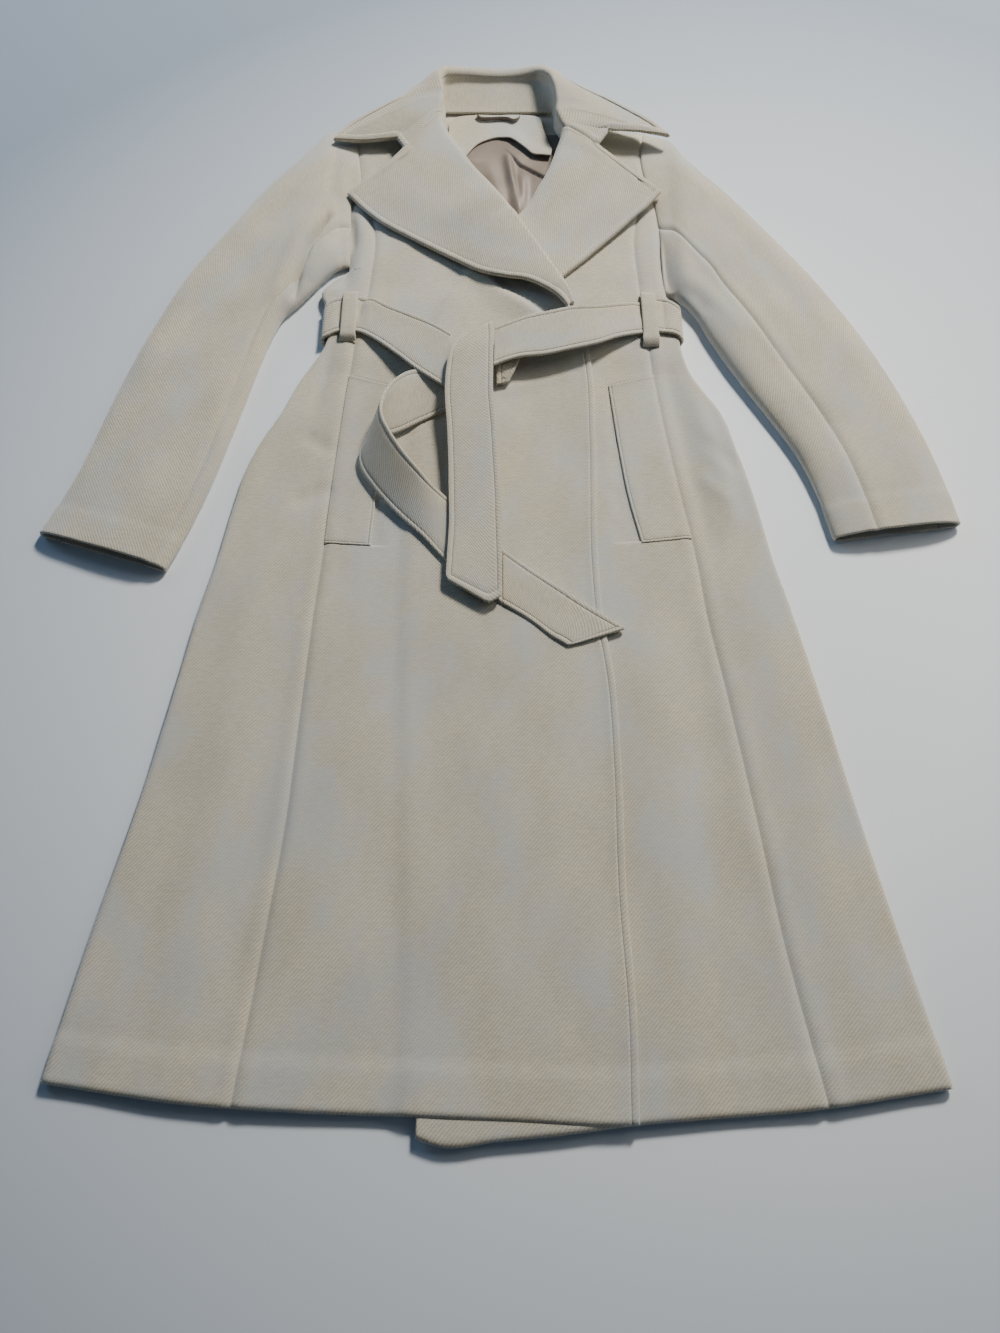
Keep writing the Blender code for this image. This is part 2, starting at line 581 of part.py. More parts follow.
def sleeve(side):
    """A flattened tube in two pieces: the upper sleeve goes over the top and round the upper
    fold, the under sleeve round the lower fold and along beneath."""
    table = SLEEVES[side]
    sign = OUTWARD[side]

    def crown(w):
        return EDGE_HEIGHT + (1 - EDGE_HEIGHT) * (1 - abs(2 * w - 1) ** 3.2) ** 0.5

    def point(w, lift, v):
        x, y, in_x, in_y, rise, _ = smooth(table, v)
        place_x, place_y = x + (in_x - x) * w, y + (in_y - y) * w
        rooted = 1 - blend(0, 0.07, v)
        armhole = sign * (read(ARMHOLES[side], place_y, "out") + ARMHOLE_GAP)
        place_x += (armhole - place_x) * rooted
        return place_x, place_y, CLOTH / 2 + rise * lift

    def upper(u, v):
        seam = smooth(table, v)[5] - 0.001
        rows = [(BACK_SEAM, 0), (0.03, 0), (0.006, 0.12), (0, EDGE_HEIGHT)]
        rows += [(w, crown(w)) for w in (0.012, 0.05, 0.14)]
        rows += [(w, crown(w)) for w in np.linspace(0.14, seam, 6)[1:]]
        return point(*rows[round(u * 11)], v)

    def under(u, v):
        seam = smooth(table, v)[5] + 0.001
        rows = [(w, crown(w)) for w in np.linspace(seam, 0.95, 4)]
        rows += [(0.988, crown(0.988)), (1, EDGE_HEIGHT), (0.994, 0.12), (0.97, 0)]
        rows += [(0.7, 0), (0.42, 0), (BACK_SEAM + 0.003, 0)]
        return point(*rows[round(u * 10)], v)

    cloth("sleeve_upper_" + side, 11, len(table) - 1, upper, CLOTH, WOOL)
    cloth("sleeve_under_" + side, 10, len(table) - 1, under, CLOTH, WOOL)


def pocket(side):
    """Welt that lies on the front beside the princess seam."""
    sign = OUTWARD[side]

    def place(u, v):
        x, y, seam_y = straight(POCKETS[side], v)
        outer = sign * (read(SIDES[side], seam_y, "seam") - WELT_INSET)
        across, up = x + (outer - x) * u, y + (seam_y - y) * u
        height = right_front_height(across, up) if side == "right" else front_height(up)
        return across, up, height + CLOTH + GAP

    cloth("pocket_welt_" + side, 2, 6, place, CLOTH, WOOL)


def carrier(side):
    """Strip that bridges the belt, sewn down above and below it."""
    middle, level = CARRIER_PLACE[side]

    def place(u, v):
        up, rise = smooth(CARRIER, v)
        x = middle + CARRIER_WIDTH * (u - 0.5)
        return x, level + up, front_height(level + up) + rise

    cloth("belt_carrier_" + side, 1, 12, place, CLOTH, WOOL)


def belt(name, table, columns, steps):
    """One stretch of the belt between the two edges that its table gives, with so many steps
    from row to row."""

    def place(u, v):
        ax, ay, az, bx, by, bz = smooth(table, v)
        return ax + (bx - ax) * u, ay + (by - ay) * u, az + (bz - az) * u

    cloth(name, columns, steps * (len(table) - 1), place, DOUBLE, WOOL)


for half in OUTWARD:
    back(half)
    side_panel(half)
    front(half)
    pocket(half)
    sleeve(half)
    lapel(half)
    carrier(half)
neck_inside()
collar()
belt("belt_back", BELT_BACK, 1, 2)
belt("belt_right", BELT_RIGHT, 2, 2)
belt("belt_left", BELT_LEFT, 2, 2)
belt("belt_tail", BELT_TAIL, 2, 2)
belt("belt_loop", BELT_LOOP, 2, 2)
belt("belt_end", BELT_END, 2, 2)
belt("belt_turn", BELT_TURN, 2, 2)
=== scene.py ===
"""Looks of the wrap coat that lies on its back: its cloth, seams, stitching, folds and linings.

Metres, +Z up. The coat's length runs along Y, hem at -Y and collar at +Y, and its front faces up.
Right and left are the wearer's, so the right front, which laps over the left one, is at -X. Tables
give places as millimetres across (x) and up from the hem (y), and heights (z) above the floor.
"""
import math
from collections import namedtuple

import bmesh
import bpy
import numpy as np
from mathutils import Euler, Matrix, Vector


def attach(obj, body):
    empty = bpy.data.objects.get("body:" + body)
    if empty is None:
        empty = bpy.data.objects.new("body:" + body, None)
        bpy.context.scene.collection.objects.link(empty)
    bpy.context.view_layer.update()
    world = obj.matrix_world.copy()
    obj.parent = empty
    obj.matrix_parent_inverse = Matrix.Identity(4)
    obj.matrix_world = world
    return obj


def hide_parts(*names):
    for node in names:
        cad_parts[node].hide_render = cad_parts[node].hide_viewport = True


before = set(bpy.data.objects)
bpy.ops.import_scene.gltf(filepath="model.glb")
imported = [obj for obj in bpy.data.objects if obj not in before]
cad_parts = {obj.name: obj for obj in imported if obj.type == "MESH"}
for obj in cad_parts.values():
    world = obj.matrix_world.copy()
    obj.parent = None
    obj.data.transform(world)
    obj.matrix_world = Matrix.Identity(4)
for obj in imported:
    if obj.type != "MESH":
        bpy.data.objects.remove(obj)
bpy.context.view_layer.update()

# ---------------------------------------------------------------- Floor, light and camera
# A pale cool floor with a painted pool of light: its colour is painted lighter in its middle and
# darker, as painted shade, towards its edges. A window's light comes from beyond the collar and to
# the right, two weaker lights come from the sides, and a camera looks steeply down from the hem.
FLOOR_SIZE = 6
FLOOR_DROP = 0.0004     # parts the floor from the coat's underside
FLOOR_PAINTED_LIGHT = (0.87, 0.92, 0.98)
FLOOR_PAINTED_SHADE = (0.31, 0.375, 0.465)
FLOOR_LIGHT_POOL_MIDDLE = (0.15, -0.12, 0)
FLOOR_LIGHT_POOL_REACH = (0.3, 0.95)   # how far out from its middle the painted pool of light stays bright, and where the painted shade is fullest
CAMERA_PLACE = (0, -0.6018, 0.877)
CAMERA_TILT = 25
CAMERA_LENS = 28.36
CAMERA_SENSOR = 36
SKY_COLOUR = (0.62, 0.79, 1.0, 1)
SKY_STRENGTH = 0.08
# place, what it points at, size in metres, watts, colour
LIGHTS = {
    "window light": ((1.12, 2.12, 1.85), (0.0, 0.3, 0.0), 0.55, 132, (1.0, 0.94, 0.84)),
    "side light": ((2.0, 0.9, 1.3), (0.3, 0.5, 0), 1.6, 18, (1.0, 0.95, 0.86)),
    "cool fill": ((-1.9, 1.5, 1.0), (-0.2, 0.2, 0), 1.3, 13, (0.38, 0.64, 1.0)),
}


class Socket:
    """A shader node's output. Arithmetic on it adds Math nodes."""

    def __init__(self, tree, output):
        self.tree = tree
        self.output = output

    def node(self, kind, settings, values, output=0):
        """Any node: its settings first, then the values or links of its sockets."""
        made = self.tree.nodes.new(kind)
        for name, value in settings.items():
            setattr(made, name, value)
        for key, value in values.items():
            if isinstance(value, Socket):
                self.tree.links.new(value.output, made.inputs[key])
            else:
                made.inputs[key].default_value = value
        return Socket(self.tree, made.outputs[output])

    def maths(self, operation, *values):
        return self.node("ShaderNodeMath", {"operation": operation}, dict(enumerate(values)))

    def __add__(self, other):
        return self.maths("ADD", self, other)

    __radd__ = __add__

    def __sub__(self, other):
        return self.maths("SUBTRACT", self, other)

    def __rsub__(self, other):
        return self.maths("SUBTRACT", other, self)

    def __mul__(self, other):
        return self.maths("MULTIPLY", self, other)

    __rmul__ = __mul__

    def __truediv__(self, other):
        return self.maths("DIVIDE", self, other)

    def sine(self):
        return self.maths("SINE", self)

    def ramp(self, low, high):
        """0 below low, 1 above high, smooth between."""
        return self.node("ShaderNodeMapRange", {"interpolation_type": "SMOOTHSTEP"},
                         {0: self, 1: low, 2: high})

    def noise(self, scale, detail=2.0, stretch=(1, 1, 1)):
        """Noise on a place given in mm, with features about 1/scale mm apart."""
        place = self.node("ShaderNodeVectorMath", {"operation": "MULTIPLY"},
                          {0: self, 1: stretch})
        return self.node("ShaderNodeTexNoise", {}, {"Vector": place, "Scale": scale,
                                                    "Detail": detail})

    def colours(self, first, second):
        """Between two colours by this share."""
        values = {0: self}
        for slot, colour in ((6, first), (7, second)):
            values[slot] = colour if isinstance(colour, Socket) else (*colour, 1)
        return self.node("ShaderNodeMix", {"data_type": "RGBA"}, values, 2)


def material(name, roughness, specular):
    """A new material, its nodes and its shader."""
    finish = bpy.data.materials.new(name)
    finish.use_nodes = True
    shader = finish.node_tree.nodes["Principled BSDF"]
    shader.inputs["Roughness"].default_value = roughness
    shader.inputs["Specular IOR Level"].default_value = specular
    return finish, finish.node_tree, shader


def placed(name, form, finish):
    """A new object from a bmesh, in its material."""
    mesh = bpy.data.meshes.new(name)
    form.to_mesh(mesh)
    form.free()
    mesh.materials.append(finish)
    piece = bpy.data.objects.new(name, mesh)
    bpy.context.scene.collection.objects.link(piece)
    return piece


floor_paint, floor_tree, floor_shader = material("pale floor with painted light pool", 0.9, 0)
on_floor = Socket(floor_tree, floor_tree.nodes.new("ShaderNodeTexCoord").outputs["Object"])
# The floor's colour is painted: lighter near its middle and darker further out, a painted pool of
# light with painted shade towards the edges.
away = on_floor.node("ShaderNodeVectorMath", {"operation": "DISTANCE"},
                     {0: on_floor, 1: FLOOR_LIGHT_POOL_MIDDLE}, "Value")
painted_falloff = away.node("ShaderNodeMapRange", {}, {0: away, 1: FLOOR_LIGHT_POOL_REACH[0], 2: FLOOR_LIGHT_POOL_REACH[1]})
floor_tree.links.new(painted_falloff.colours(FLOOR_PAINTED_LIGHT, FLOOR_PAINTED_SHADE).output,
                     floor_shader.inputs["Base Color"])
form = bmesh.new()
bmesh.ops.create_grid(form, x_segments=1, y_segments=1, size=FLOOR_SIZE)
bmesh.ops.translate(form, verts=form.verts, vec=(0, 0, -FLOOR_DROP))
placed("floor", form, floor_paint)

for name, (place, target, size, watts, colour) in LIGHTS.items():
    lamp = bpy.data.lights.new(name, "AREA")
    lamp.shape = "DISK"
    lamp.size = size
    lamp.energy = watts
    lamp.color = colour
    holder = bpy.data.objects.new(name, lamp)
    holder.location = place
    aim = Vector(target) - Vector(place)
    holder.rotation_euler = aim.to_track_quat("-Z", "Y").to_euler()
    bpy.context.scene.collection.objects.link(holder)

world = bpy.data.worlds.new("soft sky")
world.use_nodes = True
world.node_tree.nodes["Background"].inputs["Color"].default_value = SKY_COLOUR
world.node_tree.nodes["Background"].inputs["Strength"].default_value = SKY_STRENGTH
bpy.context.scene.world = world

camera_data = bpy.data.cameras.new("camera")
camera_data.lens = CAMERA_LENS
camera_data.sensor_width = CAMERA_SENSOR
camera = bpy.data.objects.new("camera", camera_data)
camera.location = CAMERA_PLACE
camera.rotation_euler = Euler((math.radians(CAMERA_TILT), 0, 0))
bpy.context.scene.collection.objects.link(camera)
bpy.context.scene.camera = camera

# ---------------------------------------------------------------- Back
# Two panels of brushed wool twill with a seam down the middle. They lie flat on the floor, and
# lift a little at the waist, where the belt passes under them.
MM = 0.001
MIDDLE = 580.5      # up from the hem to the part's origin
CLOTH = 2.0         # the coating's thickness
DOUBLE = 3.0        # collar, lapels and belt: two layers pressed together
GAP = 0.3           # parts two touching pieces
BACK_GAP = 1.6      # parts the back from the side panels, underneath
ARMHOLE_GAP = 1.5   # parts a sleeve's curve from the body's
BACK = CLOTH / 2    # heights of the layers' middles
FRONT = 6.8
WAIST = 784.0       # the belt's middle, up from the hem
FRONT_WAIST = 1.6   # the front's rise over the belt's back stretch
TUCK = 26           # how far the side panels reach in under the coat
FOLD_BULGE = 1.5    # how far a side fold stands out, in shares of half its height
NECK_TOP = 1130     # the back's top behind the neck
BACK_RISE = 4       # the back's hem is this much higher than the fronts'

OUTWARD = {"right": -1, "left": 1}  # which way along X a half lies

# Side fold and princess seam of each half, both measured from the middle
Side = namedtuple("Side", "y fold seam")
SIDES = {
    "right": [
        Side(0, 356, 206), Side(120, 336, 194), Side(240, 315, 183), Side(340, 299, 179),
        Side(433, 285, 175), Side(497, 273, 171), Side(562, 263, 168), Side(600, 256, 166),
        Side(635, 244, 164), Side(668, 228, 162), Side(722, 206, 158), Side(740, 196, 156),
        Side(758, 187.5, 155), Side(810, 187.5, 148), Side(838, 195, 144), Side(852, 187, 143),
        Side(866, 173, 142), Side(920, 172, 141), Side(990, 172, 157)],
    "left": [
        Side(0, 350, 252), Side(114, 329, 234), Side(238, 309, 220), Side(361, 289, 205),
        Side(440, 275, 194), Side(497, 263, 189), Side(569, 252, 179), Side(628, 240, 171),
        Side(678, 226, 165), Side(707, 209, 162), Side(732, 198, 160), Side(758, 192.5, 158),
        Side(800, 192.5, 155), Side(814, 189, 154), Side(824, 185, 154), Side(920, 185, 152),
        Side(990, 185, 164)],
}

# Armhole, from underarm to shoulder
Armhole = namedtuple("Armhole", "y out")
ARMHOLES = {
    "right": [
        Armhole(868, 168), Armhole(930, 170), Armhole(967, 171), Armhole(998, 163),
        Armhole(1043, 167), Armhole(1096, 173)],
    "left": [
        Armhole(828, 182), Armhole(860, 181), Armhole(930, 181), Armhole(968, 178),
        Armhole(1014, 169), Armhole(1056, 167), Armhole(1092, 173)],
}

# The hem's lift towards the sides
Hem = namedtuple("Hem", "x y")
HEM = [Hem(-356, 30), Hem(-234, 14), Hem(-152, 9), Hem(-64, 6), Hem(8, 3), Hem(105, 0),
       Hem(152, 4), Hem(234, 10), Hem(350, 26)]
HEM_REACH = 350     # the hem's shape has faded out this far up

# The wool: heathered oatmeal yarns in a coarse twill whose lines climb to the right
OATMEAL = (0.40, 0.363, 0.285)
CREAM = (0.72, 0.665, 0.53)
COOL_GREY = (0.46, 0.50, 0.53)
WALE = 2.5          # from one twill line to the next, in mm
WALE_ANGLE = 48


def woven(name, roughness, sheen):
    """A cloth material's shader, and the place on the cloth in mm."""
    finish, tree, shader = material(name, roughness, 0.2)
    shader.inputs["Sheen Weight"].default_value = sheen
    shader.inputs["Sheen Roughness"].default_value = 0.45
    shader.inputs["Sheen Tint"].default_value = (0.95, 0.95, 0.95, 1)
    reader = tree.nodes.new("ShaderNodeUVMap")
    reader.uv_map = "cloth"
    metres = Socket(tree, reader.outputs[0])
    place = metres.node("ShaderNodeVectorMath", {"operation": "SCALE"},
                        {0: metres, "Scale": 1 / MM})
    return finish, shader, place


def wool():
    finish, shader, place = woven("oatmeal wool twill", 0.9, 0.6)
    tree = finish.node_tree
    across, along = (place.node("ShaderNodeSeparateXYZ", {}, {0: place}, axis)
                     for axis in (0, 1))
    angle = math.radians(WALE_ANGLE)
    # twill lines that waver, the yarns across them, brushed fibre, and thicker yarns
    wander = place.noise(0.11, 1) * 2.4 + place.noise(0.5, 2) * 1.5
    steps = (along * math.cos(angle) - across * math.sin(angle)) * (2 * math.pi / WALE)
    twill = (steps + wander).sine() * 0.5 + 0.5
    yarn = ((along * math.sin(angle) + across * math.cos(angle)) * 4.2
            + place.noise(0.35, 1) * 5).sine() * 0.5 + 0.5
    fibre = place.noise(1.3, 3)
    slub = place.noise(0.34, 3, (0.35, 1.1, 1))
    # cooler patches, large and small, and lighter ones
    cloud = place.noise(0.014, 3, (1, 0.5, 1)).ramp(0.4, 0.68)
    patch = place.noise(0.045, 3).ramp(0.44, 0.72)
    shade = place.noise(0.021, 3, (1, 0.55, 1)).ramp(0.34, 0.66)
    light = twill * 0.3 + fibre * 0.66 + slub.ramp(0.35, 0.65) * 0.1 + shade * 0.1
    body = light.ramp(0.27, 1.0).colours(OATMEAL, CREAM)
    cool = cloud * 0.52 + patch * 0.2 + slub.ramp(0.54, 0.75) * 0.06
    tinted = cool.colours(body, COOL_GREY)
    tree.links.new(tinted.output, shader.inputs["Base Color"])
    height = twill * 0.38 + yarn * 0.12 + fibre * 1.0 + slub * 0.5
    bump = height.node("ShaderNodeBump", {}, {"Strength": 0.55, "Distance": 0.0006,
                                               "Height": height})
    tree.links.new(bump.output, shader.inputs["Normal"])
    return finish


WOOL = wool()


def blend(low, high, x):
    """0 below low, 1 above high, smooth between."""
    t = np.clip((np.asarray(x, dtype=float) - low) / (high - low), 0, 1)
    return t * t * (3 - 2 * t)


def curve(places, values, at):
    """The smooth line through values, (n) or (n, k), that stand at the given places."""
    places = np.asarray(places, dtype=float)
    values = np.asarray(values, dtype=float)
    flat = values.ndim == 1
    if flat:
        values = values[:, None]
    at = np.clip(np.asarray(at, dtype=float), places[0], places[-1])
    i = np.clip(np.searchsorted(places, at, side="right") - 1, 0, len(places) - 2)
    step = np.diff(places)[:, None]
    rise = np.diff(values, axis=0) / step
    slope = np.vstack((rise[:1], (rise[:-1] * step[1:] + rise[1:] * step[:-1])
                       / (step[1:] + step[:-1]), rise[-1:]))
    f = ((at - places[i]) / step[i, 0])[..., None]
    size = step[i]
    found = ((1 + 2 * f) * (1 - f) ** 2 * values[i] + f * f * (3 - 2 * f) * values[i + 1]
             + size * (f * (1 - f) ** 2 * slope[i] + f * f * (f - 1) * slope[i + 1]))
    return found[..., 0] if flat else found


def read(table, at, column):
    """A named column of a table, smooth between its rows, against its first column."""
    return curve([row[0] for row in table], [getattr(row, column) for row in table], at)


def lengths(points, axis):
    """Distances along the rows (axis 1) or the columns (axis 0) of a grid of points."""
    steps = np.linalg.norm(np.diff(points, axis=axis), axis=2)
    start = np.zeros_like(steps[:1] if axis == 0 else steps[:, :1])
    return np.concatenate((start, np.cumsum(steps, axis=axis)), axis=axis)


def spread(width, first, last, count):
    """Distances across each row: set ones in from its two edges, and even ones between."""
    width = np.atleast_1d(width)[:, None]
    near = np.broadcast_to(first, (len(width), len(first)))
    far = width - np.asarray(last[::-1])
    share = np.linspace(0, 1, count + 2)[1:-1]
    middle = near[:, -1:] + (far[:, :1] - near[:, -1:]) * share
    return np.hstack((near, middle, far))


def all_across(values, grid):
    """Each row's value, all across a grid."""
    return np.broadcast_to(values[:, None], grid.shape)


SEWN_RADIUS = 0.35  # how little a sewn edge is rounded
EDGE_BLUNT = 0.04   # keeps a rounded edge from ending in a knife's edge


def cloth(name, points, finish, rests_on, thickness=CLOTH, grain=None, sewn=()):
    """A closed wall of cloth about a grid of points in mm. Its edges are round, and the sewn
    ones nearly square. It replaces the node that has its name."""
    rows, columns = points.shape[:2]
    form = bmesh.new()
    bmesh.ops.create_grid(form, x_segments=columns - 1, y_segments=rows - 1, size=0.5)
    piece = placed(name + "_cloth", form, finish)
    mesh = piece.data
    places = np.empty(len(mesh.vertices) * 3)
    mesh.vertices.foreach_get("co", places)
    places = places.reshape(-1, 3) + 0.5
    column = np.rint(places[:, 0] * (columns - 1)).astype(int)
    row = np.rint(places[:, 1] * (rows - 1)).astype(int)
    metres = (points - (0, MIDDLE, 0)) * MM
    mesh.vertices.foreach_set("co", metres[row, column].ravel())

    across, along = lengths(points, 1), lengths(points, 0)
    if grain is None:
        middle = columns // 2
        grain = np.stack((across - across[:, middle:middle + 1],
                          np.broadcast_to(along[:, middle:middle + 1], across.shape)), axis=2)
    corner = np.empty(len(mesh.loops), dtype=int)
    mesh.loops.foreach_get("vertex_index", corner)
    on_cloth = (grain * MM)[row[corner], column[corner]]
    mesh.uv_layers.new(name="cloth").uv.foreach_set("vector", on_cloth.ravel())

    wall = np.broadcast_to(np.asarray(thickness, dtype=float), (rows, columns))
    thickest = float(wall.max())
    edges = {"start": along, "end": along[-1:] - along, "first": across,
             "last": across[:, -1:] - across}
    share = wall / thickest
    for edge, distance in edges.items():
        radius = np.minimum(wall / 2, SEWN_RADIUS) if edge in sewn else wall / 2
        inward = 1 - np.clip(distance / radius, 0, 1)
        round_off = 1 - np.sqrt(1 + EDGE_BLUNT - inward ** 2) / (1 + EDGE_BLUNT / 2)
        kept = wall / 2 - radius * round_off
        share = np.minimum(share, 2 * kept / thickest)

    mesh.shade_smooth()
    group = piece.vertex_groups.new(name="wall")
    shares = np.round(share[row, column], 2)
    for value in np.unique(shares):
        group.add(np.flatnonzero(shares == value).tolist(), float(value), "REPLACE")
    solid = piece.modifiers.new("wall", "SOLIDIFY")
    solid.thickness = thickest * MM
    solid.offset = 0
    solid.use_quality_normals = True
    solid.vertex_group = "wall"

    a, b, c, d = points[:-1, :-1], points[:-1, 1:], points[1:, 1:], points[1:, :-1]
    area = float(np.linalg.norm(np.cross(c - a, d - b), axis=2).sum() / 2) * MM * MM
    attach(piece, "root")
    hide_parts(name)
    return piece


def waist_lift(y):
    """1 where the belt passes under the coat, 0 above and below it."""
    return 1 - blend(34, 64, np.abs(y - WAIST))


def back_height(y):
    return BACK + (DOUBLE + GAP) * waist_lift(y)


def front_height(y):
    return FRONT + FRONT_WAIST * waist_lift(y)


def hem_shift(hem, x, y):
    """What the hem's curve adds to a point's y, fading out up the skirt."""
    return read(hem, x, "y") * (1 - blend(0, HEM_REACH, y))


def shoulder(side):
    return ARMHOLES[side][-1].y


# Distances in from an edge where the cloth rounds off
FREE = [0, 0.12, 0.45, 1.0, 1.6]
SEWN = [0, 0.12, 0.4, 1.0]

for side, sign in OUTWARD.items():
    underarm = ARMHOLES[side][0].y
    y = np.concatenate((FREE, np.linspace(5, underarm + 8, 66), [underarm + 20],
                        np.linspace(underarm + 30, shoulder(side), 16)))
    half = (front_height(y) - back_height(y)) / 2
    under_side = (read(SIDES[side], y, "fold") - CLOTH / 2 - FOLD_BULGE * half - TUCK
                  - BACK_GAP)
    above = read(ARMHOLES[side], y, "out") - ARMHOLE_GAP
    outer = np.where(y > underarm + 10, above, under_side) - GAP / 2
    d = spread(outer, SEWN, SEWN, 14)
    share = d / outer[:, None]
    x = sign * (GAP / 2 + d)
    level = all_across(y, d)
    to_neck = (1 - blend(0.35, 1, share)) * blend(1020, shoulder(side), level)
    up = (level + hem_shift(HEM, x, level) + BACK_RISE * (1 - blend(0, 60, level))
          + (NECK_TOP - shoulder(side)) * to_neck)
    cloth("back_" + side, np.stack((x, up, back_height(level)), axis=2), WOOL, ["floor"])

# ---------------------------------------------------------------- Fronts
# Each front is one panel from the princess seam to the free edge, and above that to the lapel's
# roll. The right front climbs over the left one and over the hidden end of the left lapel. Its
# free edge and its hem are turned in, which makes them thicker.
OVER = CLOTH + 0.4  # the right front's rise over the left one
CROSSING = 9.0      # its rise over the left lapel's hidden end, beside this line
CROSSING_LINE = ((18, 934), (58, 856))
NECK_POINT = 1108   # where a front's shoulder seam meets the collar
ROLL_WIDTH = 0.7    # a roll's width as a share of its height
ROLL_GAP = 2.4      # between a front's edge and its lapel's roll, under the lapel
GORGE_SHARES = (1, 0.6, 0.25)   # how far the rows next to the collar's seam turn to run along it
SEAM_GAP = 0.06     # between two panels' edges at a seam
SEAM_TOP = 988      # the princess seam runs out into the armhole here
SEAM_DEPTH = 1.5    # how far a seam pulls the cloth down, and topstitching does
STITCH_INSET = 6.2  # from an edge to its topstitching
STITCH_DEPTH = 0.7
STITCH_PITCH = 3.4  # from one stitch to the next
STITCH_SIZE = (1.3, 0.34, 0.28)     # half a stitch's length, width and height
STITCH_SINK = 0.1   # how deep a stitch sits in the cloth
EDGE_TURN = 1.2     # what the turned-in cloth adds along a free edge
HEM_TURN = 42       # how deep the hem is turned in
HEM_WALL = 3.4
HOLLOW_DEPTH = 8.0  # under the right lapel's lower end the front falls away, from here
HOLLOW_START = (22, 818)
HOLLOW_WAY = (0.66, 0.75)

Edge = namedtuple("Edge", "y x")
RIGHT_EDGE = [Edge(0, 106), Edge(76, 108), Edge(174, 105), Edge(291, 106), Edge(368, 104),
              Edge(439, 96), Edge(493, 94), Edge(633, 97), Edge(743, 95), Edge(796, 86)]
LEFT_EDGE = [Edge(0, -64), Edge(760, -64), Edge(800, -58), Edge(850, -34), Edge(895, -12)]

# The left front's own hem, where it hangs lower
UNDERLAP_HEM = [Hem(-64, -9), Hem(-50, -14), Hem(0, -11), Hem(45, -7), Hem(103, 0),
                Hem(152, 4), Hem(234, 10), Hem(350, 26)]

# Lapels: the roll's outermost line and its radius, and the lapel's own edge
Lapel = namedtuple("Lapel", "x y roll edge_x edge_y edge_z")
LAPELS = {
    "right": [
        Lapel(-70, 1103, 10.5, -109, 1039, 21), Lapel(-66, 1083, 10.0, -141, 1009, 16.5),
        Lapel(-58, 1064, 9.4, -175, 978, 13.5), Lapel(-46, 1043, 8.8, -157, 957, 12.4),
        Lapel(-34, 1022, 8.0, -134.5, 935, 12.2), Lapel(-20, 1001, 7.2, -108, 916, 12.2),
        Lapel(-4, 971, 6.2, -80, 897, 12.4), Lapel(10, 949, 5.0, -50, 877, 13.2),
        Lapel(24, 923, 4.1, -22, 857, 17), Lapel(38, 896, 3.8, 5, 845, 21.5),
        Lapel(50, 872, 3.8, 29, 838, 24), Lapel(61, 851, 3.8, 46, 828, 24.5),
        Lapel(71, 831, 3.5, 62, 815, 24), Lapel(79, 812, 3.2, 72, 803, 22)],
    "left": [
        Lapel(74, 1076, 10.5, 114, 1048, 22), Lapel(71, 1058, 10.0, 150, 1012, 20),
        Lapel(67, 1045, 9.2, 185, 978, 18), Lapel(61, 1024, 8.2, 168, 957, 16),
        Lapel(53, 1003, 7.0, 150, 939, 14.5), Lapel(44, 985, 5.6, 132, 919, 13.4),
        Lapel(34, 963, 4.2, 111, 897, 12.6), Lapel(24, 949, 3.3, 96, 881, 12.2),
        Lapel(13, 936, 3.2, 82, 867, 12.0), Lapel(2, 923, 3.2, 66, 851, 11.5),
        Lapel(-8, 911, 3.2, 51, 837, 11.3)],
}

# Pocket welts, from top to bottom, each between this inner line and the princess seam
Pocket = namedtuple("Pocket", "x y seam_y")
POCKETS = {
    "right": [Pocket(-116, 708, 721), Pocket(-120, 625, 640), Pocket(-123, 560, 575),
              Pocket(-125, 513, 516)],
    "left": [Pocket(113, 707, 720), Pocket(120, 628, 645), Pocket(126, 575, 590),
             Pocket(137, 516, 521)],
}
POCKET_WIDTH = {"right": 44.5, "left": 50.5}
POCKET_SINK = 1.3   # how far the front goes down under a welt
POCKET_ENDS = ((509.5, 525), (703.5, 725))  # up from the hem, around the welts' ends

# Distances in from an edge where a seam, or a line of topstitching, pulls the cloth down
SEAMED = SEWN + [1.8, 2.8, 4.2, 6, 8.5, 12]
STITCHED = FREE + [2.4, 3.6, 4.7, 5.5, 6.2, 6.9, 7.7, 8.8, 11]

